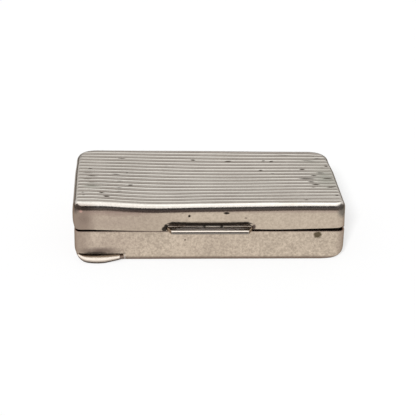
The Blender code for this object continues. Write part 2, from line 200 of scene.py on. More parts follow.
class Surface(Nodes):
    """A material under construction."""

    def __init__(self, name: str) -> None:
        """Starts a material with no nodes.

        Args:
            name: The material's name.
        """
        self.material = bpy.data.materials.new(name)
        self.material.use_nodes = True
        super().__init__(self.material.node_tree)
        self.tree.nodes.clear()
        self.place = self.add("ShaderNodeTexCoord", {}).outputs["Object"]

    def noise(self, scale: float, detail: float, roughness: float = 0.5,
              place: Optional[Socket] = None, distortion: float = 0.0) -> Socket:
        """Adds a noise texture, whose values lie round a half.

        Args:
            scale: Waves in a metre.
            detail: How many finer layers it has.
            roughness: How strong the finer layers are.
            place: Where it is read. The piece's own coordinates are used if none is given.
            distortion: How much its waves are bent.

        Returns:
            Its value.
        """
        feeds = {"Vector": place or self.place, "Scale": scale, "Detail": detail, "Roughness": roughness,
                 "Distortion": distortion}
        return self.add("ShaderNodeTexNoise", feeds).outputs["Fac"]

    def mix(self, share: Value, first: Value, second: Value) -> Socket:
        """Mixes two colours.

        Args:
            share: How much of the second one shows.
            first: The first colour.
            second: The second colour.

        Returns:
            The mixed colour.
        """
        ends = [value if isinstance(value, Socket) else (*value, 1.0) for value in (first, second)]
        return self.add("ShaderNodeMix", {0: share, 6: ends[0], 7: ends[1]}, data_type="RGBA").outputs[2]

    def attribute(self, name: str) -> Socket:
        """Reads one of the piece's attributes."""
        return self.add("ShaderNodeAttribute", {}, attribute_name=name).outputs["Fac"]

    def near(self, middle: tuple, reach: tuple, core: float, wobble: Value) -> Socket:
        """Marks a rounded place.

        Args:
            middle: Its middle.
            reach: How far it goes along each axis.
            core: The share of its reach that is marked fully.
            wobble: What is added to the distance, to roughen its edge.

        Returns:
            1 in its core and 0 outside it.
        """
        away = self.add("ShaderNodeVectorMath", {0: self.place, 1: middle}, operation="SUBTRACT").outputs[0]
        away = self.add("ShaderNodeVectorMath", {0: away, 1: reach}, operation="DIVIDE").outputs[0]
        away = self.add("ShaderNodeVectorMath", {0: away}, operation="LENGTH").outputs["Value"]
        return self.rise(self.math("ADD", away, wobble), core, 1.0, 1.0, 0.0)

    def scratches(self, turn: tuple, long: float, wide: float, width: float) -> Socket:
        """Draws fine broken lines along one direction.

        Args:
            turn: How the lines' direction is turned from X, in radians about each axis.
            long: How long the lines' waves are.
            wide: How far apart they lie.
            width: The lines' width, as a share of the noise's range.

        Returns:
            1 on a line and 0 off it.
        """
        feeds = {"Vector": self.place, "Rotation": turn, "Scale": (long, wide, wide)}
        drawn = self.add("ShaderNodeMapping", feeds, vector_type="TEXTURE").outputs[0]
        wave = self.math("SUBTRACT", self.noise(1.0, 2.0, 0.6, drawn, 0.5), 0.5)
        line = self.rise(self.math("ABSOLUTE", wave), 0.0, width, 1.0, 0.0)
        broken = self.rise(self.noise(0.55 / long, 2.0), 0.5, 0.62)
        return self.times(line, broken)

    def finish(self, colour: Value, roughness: Value, height: Value) -> bpy.types.Material:
        """Ends the material as a metal.

        Args:
            colour: Its colour.
            roughness: Its roughness.
            height: Its relief, in millimetres.

        Returns:
            The material.
        """
        bump = self.add("ShaderNodeBump", {"Strength": 1.0, "Distance": MM, "Height": height}).outputs[0]
        feeds = {"Base Color": colour, "Metallic": 1.0, "Roughness": roughness, "Normal": bump,
                 "Specular Tint": EDGE_TINT}
        shader = self.add("ShaderNodeBsdfPrincipled", feeds).outputs[0]
        self.add("ShaderNodeOutputMaterial", {"Surface": shader})
        return self.material


@dataclass(frozen=True)
class ColourPatch:
    """A patch of changed colour, used both for real tarnish and pits and for painted shade and highlights.
    Lengths are in millimetres.
    """

    middle: tuple[float, float, float]
    reach: tuple[float, float, float]
    colour: Colour
    strength: float = 1.0
    core: float = 0.3
    wobble: float = 0.5
    dip: float = 0.0


@dataclass(frozen=True)
class ShadeBand:
    """A band of painted shade along a front wall, from one height to another; some paint a dark reflection.
    Lengths are in millimetres.

    Its bow is how much higher it lies at its ends, and its splay how fast they draw in upwards.
    """

    low: float
    high: float
    half: float
    colour: Colour
    strength: float = 1.0
    feather: float = 0.3
    wobble: float = 0.3
    front: float = -19.0
    bow: float = 0.0
    splay: float = 0.0


# Each kind of scratch: its turn about the axes, and its waves' length, spacing and width.
SCRATCHES = (
    ((0.0, 0.12, 0.1), 14 * MM, 0.5 * MM, 0.012),
    ((0.3, -0.75, 0.9), 9 * MM, 0.45 * MM, 0.010),
    ((-0.2, 1.25, -0.5), 7 * MM, 0.5 * MM, 0.010),
)


@dataclass(frozen=True)
class Silver:
    """A finish of worn silver: its colours, its gloss, its marks and its painted shade."""

    name: str
    clean: Colour
    toned: Colour
    roughness: float
    cloud_share: float = 0.6
    mottle_share: float = 1.2
    grain: float = 0.004
    waviness: float = 0.010
    scratch_share: float = 0.25
    scratch_depth: float = 0.25
    mottled_rough: float = 0.06
    patch_rough: float = 0.18
    shade: Colour = (0.28, 0.212, 0.168)
    colour_patches: tuple[ColourPatch, ...] = ()
    shade_bands: tuple[ShadeBand, ...] = ()

    @staticmethod
    def banded(surface: Surface, band: ShadeBand, wobble: Socket) -> Socket:
        """Marks a band of painted shade, from 0 to 1."""
        x, y, z = surface.add("ShaderNodeSeparateXYZ", {0: surface.place}).outputs
        feather = band.feather * MM
        moved = surface.math("MULTIPLY_ADD", wobble, band.wobble * MM, z)
        aside = surface.math("ABSOLUTE", x)
        bowed = surface.times(surface.math("POWER", aside, 2.0), -band.bow / (MM * band.half ** 2))
        moved = surface.total(moved, bowed)
        mark = surface.times(surface.rise(moved, band.low * MM, band.low * MM + feather),
                             surface.rise(moved, band.high * MM, band.high * MM - feather))
        out = surface.math("MULTIPLY_ADD", surface.math("SUBTRACT", z, band.low * MM), band.splay, aside)
        ends = surface.rise(out, band.half * MM, band.half * MM - feather)
        front = surface.math("LESS_THAN", y, band.front * MM)
        share = surface.times(surface.times(mark, ends), front)
        return surface.times(share, band.strength)

    def dressed(self, surface: Surface, colour: Value, extra_rough: Value) -> bpy.types.Material:
        """Adds mottling, scratches, tarnish and painted shade to a colour, and ends the material.

        Args:
            surface: The material under construction.
            colour: The colour that the metal has before its marks.
            extra_rough: What is added to its roughness.

        Returns:
            The material.
        """
        mottle = surface.noise(1150.0, 4.0, 0.62)
        scratch: Value = 0.0
        for line in SCRATCHES:
            scratch = surface.math("MAXIMUM", surface.scratches(*line), scratch)
        wave = surface.noise(240.0, 2.0)
        height = surface.total(surface.times(mottle, self.grain),
                               surface.times(wave, self.waviness),
                               surface.times(scratch, -self.scratch_depth * self.grain))
        colour = surface.mix(surface.times(scratch, self.scratch_share), colour, self.clean)
        colour = surface.mix(surface.attribute("shade"), colour, self.shade)
        mottled = surface.times(mottle, self.mottled_rough)
        rough = surface.total(self.roughness, extra_rough, mottled)
        edge = surface.math("SUBTRACT", mottle, 0.5)
        for band in self.shade_bands:
            colour = surface.mix(self.banded(surface, band, edge), colour, band.colour)
        for colour_patch in self.colour_patches:
            middle = tuple(length * MM for length in colour_patch.middle)
            reach = tuple(length * MM for length in colour_patch.reach)
            wobble = surface.times(edge, colour_patch.wobble)
            mark = surface.times(surface.near(middle, reach, colour_patch.core, wobble), colour_patch.strength)
            colour = surface.mix(mark, colour, colour_patch.colour)
            rough = surface.math("MULTIPLY_ADD", mark, self.patch_rough, rough)
            if colour_patch.dip:
                height = surface.math("MULTIPLY_ADD", mark, -colour_patch.dip, height)
        return surface.finish(colour, rough, height)

    def tone(self, surface: Surface) -> Socket:
        """Works out how toned the metal is from place to place, from 0 to 1."""
        cloud = surface.math("MULTIPLY_ADD", surface.noise(75.0, 3.0, 0.55), 2.0, -1.0)
        mottle = surface.math("MULTIPLY_ADD", surface.noise(1400.0, 4.0, 0.72), 2.0, -1.0)
        share = surface.math("MULTIPLY_ADD", cloud, self.cloud_share, 0.5)
        return surface.math("MULTIPLY_ADD", mottle, self.mottle_share, share, clamp=True)

    def material(self) -> bpy.types.Material:
        """Builds the finish as a material."""
        surface = Surface(self.name)
        colour = surface.mix(self.tone(surface), self.clean, self.toned)
        return self.dressed(surface, colour, 0.0)


@dataclass(frozen=True)
class LidSilver(Silver):
    """The lid's finish: ribs with painted highlights and shade, rubbed patches, toned grooves, plainer walls
    and a satin inside.
    """

    plain: Colour = (0.67, 0.632, 0.59)
    plain_toned: Colour = (0.53, 0.50, 0.46)
    crest_highlight: Colour = (0.97, 0.935, 0.86)
    crest_highlight_toned: Colour = (0.80, 0.77, 0.71)
    flank_shade: Colour = (0.345, 0.315, 0.286)
    flank_shade_toned: Colour = (0.265, 0.242, 0.22)
    groove: Colour = (0.19, 0.165, 0.145)
    dark_marks_and_shade: Colour = (0.075, 0.064, 0.055)
    rubbed: Colour = (0.445, 0.44, 0.39)
    inside: Colour = (0.50, 0.44, 0.34)
    toned_middle: tuple[float, float, float] = (-27 * MM, -3 * MM, 17 * MM)
    toned_reach: tuple[float, float, float] = (16 * MM, 15 * MM, 6 * MM)
    toned_share: float = 0.35

    def material(self) -> bpy.types.Material:
        """Builds the finish as a material."""
        surface = Surface(self.name)
        left = surface.near(self.toned_middle, self.toned_reach, 0.0, 0.0)
        tone = surface.math("MULTIPLY_ADD", left, self.toned_share, self.tone(surface), clamp=True)
        wall = surface.mix(tone, self.clean, self.toned)
        # The ribs' tops get a painted highlight and the groove sides painted shade: lit and shaded copies of
        # one silver.
        ribbed = surface.mix(surface.rise(surface.attribute("crest_highlight"), 0.50, 0.86),
                             surface.mix(tone, self.flank_shade, self.flank_shade_toned),
                             surface.mix(tone, self.crest_highlight, self.crest_highlight_toned))
        plain = surface.mix(tone, self.plain, self.plain_toned)
        top = surface.mix(surface.attribute("ribbed"), plain, ribbed)
        top = surface.mix(surface.attribute("rubbed"), top, self.rubbed)
        colour = surface.mix(surface.rise(surface.attribute("plateau"), 0.15, 0.6), wall, top)
        patchy = surface.math("MULTIPLY_ADD", surface.noise(160.0, 3.0), 1.4, 0.1, clamp=True)
        groove = surface.times(surface.rise(surface.attribute("groove"), 0.15, 0.7), patchy)
        colour = surface.mix(groove, colour, self.groove)
        # Darkened nicks, and painted shade along the top's back edge.
        dark_marks_and_shade = surface.rise(surface.attribute("dark_marks_and_shade"), 0.10, 0.55)
        colour = surface.mix(dark_marks_and_shade, colour, self.dark_marks_and_shade)
        inside = surface.attribute("inside")
        colour = surface.mix(inside, colour, self.inside)
        rough = surface.times(surface.total(inside, groove, dark_marks_and_shade), 0.2)
        return self.dressed(surface, colour, rough)


# The darkest colour below serves both real tarnish and painted shade; PINK paints a pinkish highlight.
TARNISH_AND_SHADE = (0.034, 0.028, 0.022)
OLIVE = (0.115, 0.088, 0.052)
BROWN = (0.16, 0.115, 0.095)
REDDISH = (0.30, 0.215, 0.185)
PINK = (0.80, 0.50, 0.42)

LID_PATCHES = (
    ColourPatch((4.8, -21.0, 15.25), (1.15, 0.6, 0.48), TARNISH_AND_SHADE, dip=0.10),
    ColourPatch((-6.0, -21.0, 14.31), (0.52, 0.6, 0.46), TARNISH_AND_SHADE, dip=0.08),
    ColourPatch((-8.0, -21.0, 15.34), (0.55, 0.6, 0.30), BROWN, 0.5, dip=0.03),
    ColourPatch((10.5, -21.0, 13.60), (0.60, 0.6, 0.34), BROWN, 0.6, dip=0.03),
    # Brown darkening at the left end of the front wall: partly tarnish, partly painted shade.
    ColourPatch((-36.4, -21.0, 13.3), (2.6, 2.0, 2.6), BROWN, 0.30, core=0.0),
    # Painted dark reflection on the rounded front corners, right and left.
    ColourPatch((39.9, -20.7, 15.7), (3.3, 2.4, 3.1), (0.18, 0.162, 0.14), 0.9, core=0.4, wobble=0.3),
    ColourPatch((-39.7, -20.8, 16.1), (1.8, 2.1, 2.1), (0.13, 0.105, 0.09), 0.9, wobble=0.3),
    # Painted pinkish highlight at the front-left corner.
    ColourPatch((-37.4, -20.6, 15.85), (0.65, 1.2, 0.65), PINK, 0.8, core=0.4, wobble=0.8),
    # Brownish darkening under the front edge at the left: partly tarnish, partly painted shade.
    ColourPatch((-26.0, -21.0, 15.2), (15.0, 2.0, 1.5), (0.30, 0.19, 0.17), 0.4, core=0.2),
    ColourPatch((-13.3, -21.0, 10.05), (0.85, 0.8, 0.85), TARNISH_AND_SHADE, 0.97, core=0.6, wobble=1.1),
    ColourPatch((-12.8, -21.0, 10.95), (0.75, 0.8, 0.8), TARNISH_AND_SHADE, 0.97, core=0.6, wobble=0.8),
    ColourPatch((12.95, -21.0, 10.75), (0.70, 0.8, 1.1), (0.10, 0.07, 0.06), 0.95, core=0.4, wobble=0.6),
    # Reddish darkening over the wall's left half: partly tarnish, partly painted shade.
    ColourPatch((-29.5, -21.0, 12.5), (15.0, 2.0, 5.5), REDDISH, 0.36, core=0.0),
)
LID_SHADE_BANDS = (
    # Painted dark reflection of the thumbpiece's top on the wall above it.
    ShadeBand(11.18, 12.17, 14.3, (0.105, 0.086, 0.073), 0.97, 0.12, wobble=0.4, bow=0.6, splay=2.5),
    # Reddish darkening at the foot of the front edge's dark strip: partly tarnish, partly painted reflection.
    ShadeBand(15.0, 16.6, 41.0, REDDISH, 0.5, 0.7),
)
BASE_PATCHES = (
    ColourPatch((-7.1, -21.0, 6.59), (0.48, 0.6, 0.34), BROWN, 0.8, dip=0.05),
    ColourPatch((31.9, -21.0, 8.15), (1.4, 0.8, 1.2), OLIVE, 0.97, core=0.6, wobble=0.8, dip=0.02),
    # Painted shadow on the wall above the lip, and painted shade at its root.
    ColourPatch((-32.0, -21.0, 3.0), (9.0, 1.0, 1.9), BROWN, 0.9, core=0.0),
    ColourPatch((-33.2, -21.0, 2.45), (4.6, 0.8, 0.5), TARNISH_AND_SHADE, 0.65, core=0.2, wobble=0.6),
    # Reddish darkening over the wall's left half: partly tarnish, partly painted shade.
    ColourPatch((-29.0, -21.0, 5.5), (15.0, 2.0, 6.0), REDDISH, 0.30, core=0.0),
)
BASE_SHADE_BANDS = (
    # Painted shade along the foot.
    ShadeBand(-0.5, 1.5, 41.0, (0.16, 0.115, 0.09), 0.9, 0.85),
    # Painted shade on the base's top edge, under the seam.
    ShadeBand(8.9, 10.0, 41.0, REDDISH, 0.6, 0.4),
)
BAR_SHADE_BANDS = (
    # Painted shade on the bar's lower facets.
    ShadeBand(9.5, 10.62, 14.0, TARNISH_AND_SHADE, 0.38, 0.12, wobble=0.1, front=-23.5),
    # Painted dark reflection on the solder, continuing the dark stripe on the wall above the bar.
    ShadeBand(11.14, 12.5, 14.0, (0.07, 0.057, 0.048), 0.90, 0.06, wobble=0.05, front=-20.5),
)
BAR_PATCHES = (
    ColourPatch((-13.2, -21.1, 10.4), (0.95, 0.45, 1.3), TARNISH_AND_SHADE, 0.7, core=0.3),
    ColourPatch((13.1, -21.1, 10.2), (0.6, 0.45, 0.9), BROWN, 0.6, core=0.3),
    # Painted highlight that lightens the bar's top face.
    ColourPatch((0.0, -22.5, 10.96), (12.6, 1.4, 0.2), (0.86, 0.80, 0.75), 1.0, core=0.75, wobble=0.0),
    ColourPatch((-1.6, -21.3, 11.0), (0.55, 0.9, 0.5), TARNISH_AND_SHADE, 0.9, core=0.5),
    ColourPatch((3.5, -21.3, 11.0), (0.60, 0.9, 0.5), TARNISH_AND_SHADE, 0.9, core=0.5),
    ColourPatch((-7.0, -21.2, 11.0), (6.5, 0.6, 0.4), BROWN, 0.6, core=0.4),
    ColourPatch((8.5, -21.2, 11.0), (4.5, 0.6, 0.4), BROWN, 0.2, core=0.4),
    # Painted shade on the lip at its root.
    ColourPatch((-32.9, -21.2, 2.0), (4.7, 1.1, 1.2), TARNISH_AND_SHADE, 0.5, core=0.35),
)
SEAM_SHADE_BANDS = (
    # Painted shade where the lid's lower edge meets the rim.
    ShadeBand(9.0, 10.7, 41.0, TARNISH_AND_SHADE, 0.88, 0.45),
)

WALL_SILVER = Silver("wall_silver", clean=(0.665, 0.553, 0.438), toned=(0.42, 0.345, 0.27), roughness=0.17,
                     mottle_share=1.7, colour_patches=BASE_PATCHES, shade_bands=BASE_SHADE_BANDS)
LID_SILVER = LidSilver("lid_silver", clean=(0.66, 0.555, 0.44), toned=(0.46, 0.378, 0.296), roughness=0.17,
                       colour_patches=LID_PATCHES, shade_bands=LID_SHADE_BANDS)
BRIGHT_SILVER = Silver("bright_silver", clean=(0.72, 0.66, 0.59), toned=(0.56, 0.49, 0.42), roughness=0.14,
                       cloud_share=0.4, mottle_share=0.6, shade=(0.15, 0.112, 0.09), colour_patches=BAR_PATCHES,
                       shade_bands=BAR_SHADE_BANDS)
INNER_SILVER = Silver("inner_silver", clean=(0.60, 0.53, 0.43), toned=(0.42, 0.35, 0.26), roughness=0.36,
                      cloud_share=0.6, mottle_share=0.8, shade_bands=SEAM_SHADE_BANDS)
HINGE_SILVER = Silver("hinge_silver", clean=(0.64, 0.58, 0.49), toned=(0.36, 0.31, 0.25), roughness=0.28,
                      cloud_share=0.6, mottle_share=0.8)


@dataclass(frozen=True)
class Inset:
    """How far one level of the outline lies inside the box's plan."""

    side: float = 0.0
    front: float = 0.0
    back: float = 0.0

    @classmethod
    def even(cls, width: float) -> "Inset":
        """Makes an inset that is the same on every side."""
        return cls(width, width, width)

    def curled(self, angle: float, least: float = 0.0) -> "Inset":
        """Works out the inset part of the way round a curved edge.

        Args:
            angle: How far it has turned from the wall, up to a quarter turn.
            least: The inset where the edge starts. It ends at this one.

        Returns:
            The inset there.
        """
        share = 1 - cos(angle)
        return Inset(*(least + (width - least) * share for width in (self.side, self.front, self.back)))


@dataclass(frozen=True)
class Place:
    """A place along the outline: a stretch, and the share of it that lies before the place."""

    stretch: Stretch
    share: float

    def mirrored(self) -> "Place":
        """Finds the same place at the box's other end."""
        swaps = {Stretch.FRONT: Stretch.FRONT, Stretch.BACK: Stretch.BACK}
        swap = swaps.get(self.stretch) or Stretch(8 - self.stretch.value)
        return Place(swap, 1.0 - self.share)


@dataclass(frozen=True)
class Plan:
    """The rounded rectangle that the box stands on."""

    width: float = 80.0 * MM
    depth: float = 42.0 * MM
    front_corner: float = 1.9 * MM
    back_corner: float = 4.5 * MM
    tightest: float = 0.3 * MM

    def radii(self, inset: Inset) -> tuple[float, float]:
        """Works out the radii of the front and the back corners at one level."""
        front = max(self.front_corner - min(inset.side, inset.front), self.tightest)
        back = max(self.back_corner - min(inset.side, inset.back), self.tightest)
        return front, back

    def point(self, place: Place, inset: Inset) -> tuple[float, float]:
        """Finds a place of the outline at one level.

        Args:
            place: The place.
            inset: The level.

        Returns:
            X and Y.
        """
        front_radius, back_radius = self.radii(inset)
        side = self.width / 2 - inset.side
        front = -self.depth / 2 + inset.front
        back = self.depth / 2 - inset.back
        low, high = front + front_radius, back - back_radius
        share = place.share
        if place.stretch is Stretch.FRONT:
            return (2 * share - 1) * (side - front_radius), front
        if place.stretch is Stretch.RIGHT:
            return side, low + share * (high - low)
        if place.stretch is Stretch.BACK:
            return (1 - 2 * share) * (side - back_radius), back
        if place.stretch is Stretch.LEFT:
            return -side, high - share * (high - low)
        at_back = place.stretch in (Stretch.BACK_RIGHT, Stretch.BACK_LEFT)
        at_right = place.stretch in (Stretch.FRONT_RIGHT, Stretch.BACK_RIGHT)
        radius = back_radius if at_back else front_radius
        angle = pi / 2 * ((place.stretch.value - 3) // 2 + share)
        middle_x = (side - radius) * (1 if at_right else -1)
        return middle_x + radius * cos(angle), (high if at_back else low) + radius * sin(angle)

    def level(self, places: list[Place], inset: Inset) -> np.ndarray:
        """Finds several places of the outline at one level."""
        return np.array([self.point(place, inset) for place in places])

    def depth_inside(self, x: np.ndarray, y: np.ndarray) -> np.ndarray:
        """Measures how far points lie inside the outline's sides and back corners."""
        radius = self.back_corner
        over_x = np.abs(x) - (self.width / 2 - radius)
        over_y = y - (self.depth / 2 - radius)
        corner = radius - np.hypot(np.maximum(over_x, 0.0), np.maximum(over_y, 0.0))
        return np.where((over_x > 0) & (over_y > 0), corner, radius - over_x)

    def soften(self, points: np.ndarray, at_back: bool, radius: float, share: np.ndarray) -> None:
        """Draws points near two corners in, as if those corners were rounder.

        Args:
            points: The points, which are moved.
            at_back: Whether the back corners are meant, or the front ones.
            radius: The rounder corners' radius.
            share: How far each point goes, from 0 to 1.
        """
        turn = 1.0 if at_back else -1.0
        drawn = self.back_corner if at_back else self.front_corner
        middle = np.array([self.width / 2 - radius, self.depth / 2 - radius])
        over = np.column_stack([np.abs(points[:, 0]), turn * points[:, 1]]) - middle
        away = np.hypot(*over.T)
        at_corner = (over > 0).all(axis=1) & (away > 0.4 * radius)
        way = over / np.maximum(away, MM / 1000)[:, None]
        shift = radius - drawn
        along = shift * way.sum(axis=1)
        arc = along + np.sqrt(np.maximum(drawn ** 2 - 2 * shift ** 2 + along ** 2, 0.0))
        side = radius / np.maximum(way.max(axis=1), 0.1)
        limit = np.where(side * way.min(axis=1) < shift, side, arc)
        scale = np.where(at_corner, 1.0 + share * (radius / limit - 1.0), 1.0)
        moved = middle + over * scale[:, None]
        points[:, 0] = np.where(at_corner, np.sign(points[:, 0]) * moved[:, 0], points[:, 0])
        points[:, 1] = np.where(at_corner, turn * moved[:, 1], points[:, 1])


class Draft:
    """The points and faces of a piece while it is drawn."""

    def __init__(self) -> None:
        """Starts with nothing."""
        self.points: list[np.ndarray] = []
        self.faces: list[tuple[int, ...]] = []
        self.count = 0

    def add(self, points: np.ndarray) -> np.ndarray:
        """Adds points.

        Args:
            points: Their coordinates, three to a point.

        Returns:
            Their numbers.
        """
        points = np.asarray(points, float).reshape(-1, 3)
        self.points.append(points)
        numbers = np.arange(self.count, self.count + len(points))
        self.count += len(points)
        return numbers

    def ring(self, level: np.ndarray, height: Union[float, np.ndarray]) -> np.ndarray:
        """Adds a ring of points at a height, or each at its own height."""
        return self.add(np.column_stack([level, np.broadcast_to(height, len(level))]))

    def skin(self, rings: list[np.ndarray]) -> None:
        """Joins closed rings in a row. They turn left as seen from the first one's side."""
        for above, below in zip(rings, rings[1:]):
            following = np.roll(np.arange(len(above)), -1)
            quads = np.column_stack([below, below[following], above[following], above])
            self.faces += [tuple(quad) for quad in quads.tolist()]

    def cap(self, ring: np.ndarray, up: bool) -> None:
        """Closes a ring with one face."""
        numbers = ring.tolist()
        self.faces.append(tuple(numbers if up else numbers[::-1]))

    def solid(self, rings: list[np.ndarray]) -> None:
        """Joins rings in a row and closes both ends."""
        self.skin(rings)
        self.cap(rings[0], True)
        self.cap(rings[-1], False)

    @staticmethod
    def rim(grid: np.ndarray) -> np.ndarray:
        """Lists the points all round a grid, turning left."""
        return np.concatenate([grid[0], grid[1:-1, -1], grid[-1, ::-1], grid[-2:0:-1, 0]])

    def grid(self, numbers: np.ndarray, up: bool) -> None:
        """Fills a grid of points with faces."""
        quads = np.stack([numbers[:-1, :-1], numbers[:-1, 1:], numbers[1:, 1:], numbers[1:, :-1]], axis=-1)
        quads = quads.reshape(-1, 4)
        self.faces += [tuple(quad) for quad in (quads if up else quads[:, ::-1]).tolist()]

    def piece(self, name: str, material: Optional[bpy.types.Material] = None) -> bpy.types.Object:
        """Makes the drawn piece an object.

        Args:
            name: Its name.
            material: Its material, unless it gets none.

        Returns:
            The object.
        """
        mesh = bpy.data.meshes.new(name)
        mesh.from_pydata(np.concatenate(self.points).tolist(), [], self.faces)
        mesh.validate()
        made = bpy.data.objects.new(name, mesh)
        bpy.context.scene.collection.objects.link(made)
        if material:
            mesh.materials.append(material)
        return made


def settle(piece: bpy.types.Object, sharp: float = 35.0) -> None:
    """Turns a piece with its modifiers into a plain, smoothly shaded mesh.

    Args:
        piece: The piece.
        sharp: The angle in degrees from which an edge stays sharp.
    """
    graph = bpy.context.evaluated_depsgraph_get()
    mesh = bpy.data.meshes.new_from_object(piece.evaluated_get(graph), preserve_all_data_layers=True,
                                           depsgraph=graph)
    piece.modifiers.clear()
    before, piece.data = piece.data, mesh
    bpy.data.meshes.remove(before)
    mesh.name = piece.name
    mesh.shade_smooth()
    mesh.set_sharp_from_angle(angle=radians(sharp))


def cut(piece: bpy.types.Object, cutter: bpy.types.Object, operation: str = "DIFFERENCE") -> None:
    """Cuts a piece with a cutter and settles it.

    Args:
        piece: The piece.
        cutter: What cuts it.
        operation: DIFFERENCE, or INTERSECT to keep what is inside the cutter.
    """
    modifier = piece.modifiers.new(cutter.name, "BOOLEAN")
    modifier.operation = operation
    modifier.object = cutter
    modifier.solver = "EXACT"
    settle(piece)


def coordinates(piece: bpy.types.Object) -> np.ndarray:
    """Reads a piece's points."""
    flat = np.empty(len(piece.data.vertices) * 3, np.float32)
    piece.data.vertices.foreach_get("co", flat)
    return flat.reshape(-1, 3).astype(float)


def place_points(piece: bpy.types.Object, points: np.ndarray) -> None:
    """Moves a piece's points to new coordinates."""
    piece.data.vertices.foreach_set("co", points.astype(np.float32).ravel())
    piece.data.update()


def store(piece: bpy.types.Object, name: str, values: np.ndarray) -> None:
    """Keeps one number for each of a piece's points."""
    layer = piece.data.attributes.get(name) or piece.data.attributes.new(name, "FLOAT", "POINT")
    layer.data.foreach_set("value", values.astype(np.float32))


def prism(name: str, plan: list[tuple[float, float]], low: float, high: float) -> bpy.types.Object:
    """Raises a plan outline, turning left, from one height to another, as a hidden cutter."""
    draft = Draft()
    level = np.array(plan)
    draft.solid([draft.ring(level, high), draft.ring(level, low)])
    return draft.piece(name)


@dataclass(frozen=True)
class HingeLine:
    """The lid's hinge: where its axis is, and the room that is cut round it."""

    y: float = 20.15 * MM
    z: float = 9.55 * MM
    length: float = 70.6 * MM
    swing: float = 1.45 * MM
    notch_half: float = 38.43 * MM
    notch_depth: float = 1.85 * MM
    stop_angle: float = radians(108)
    sides: int = 48

    def cutters(self) -> list[bpy.types.Object]:
        """Makes the cutters for the knuckles' channel and the notch behind it."""
        rise = self.notch_depth * tan(self.stop_angle / 2)
        turns = [2 * pi * side / self.sides for side in range(self.sides)]
        circle = [(self.swing * cos(turn), self.swing * sin(turn)) for turn in turns]
        wedge = [(0.0, 0.0), (self.notch_depth, -rise), (self.notch_depth, rise)]
        made = []
        for name, section, half in (("channel", circle, self.length / 2), ("notch", wedge, self.notch_half)):
            draft = Draft()
            draft.solid([draft.add([(x, self.y + y, self.z + z) for y, z in section]) for x in (half, -half)])
            made.append(draft.piece(name))
        return made


@dataclass(frozen=True)
class Dent:
    """A shallow hollow: its middle, its spread along X and Y, and its depth. Lengths are in millimetres."""

    x: float
    y: float
    spread_x: float
    spread_y: float
    depth: float

    def at(self, x: np.ndarray, y: np.ndarray) -> np.ndarray:
        """Works out the hollow's depth at places given in metres."""
        away = ((x / MM - self.x) / self.spread_x) ** 2 + ((y / MM - self.y) / self.spread_y) ** 2
        return self.depth * MM * np.exp(-away)


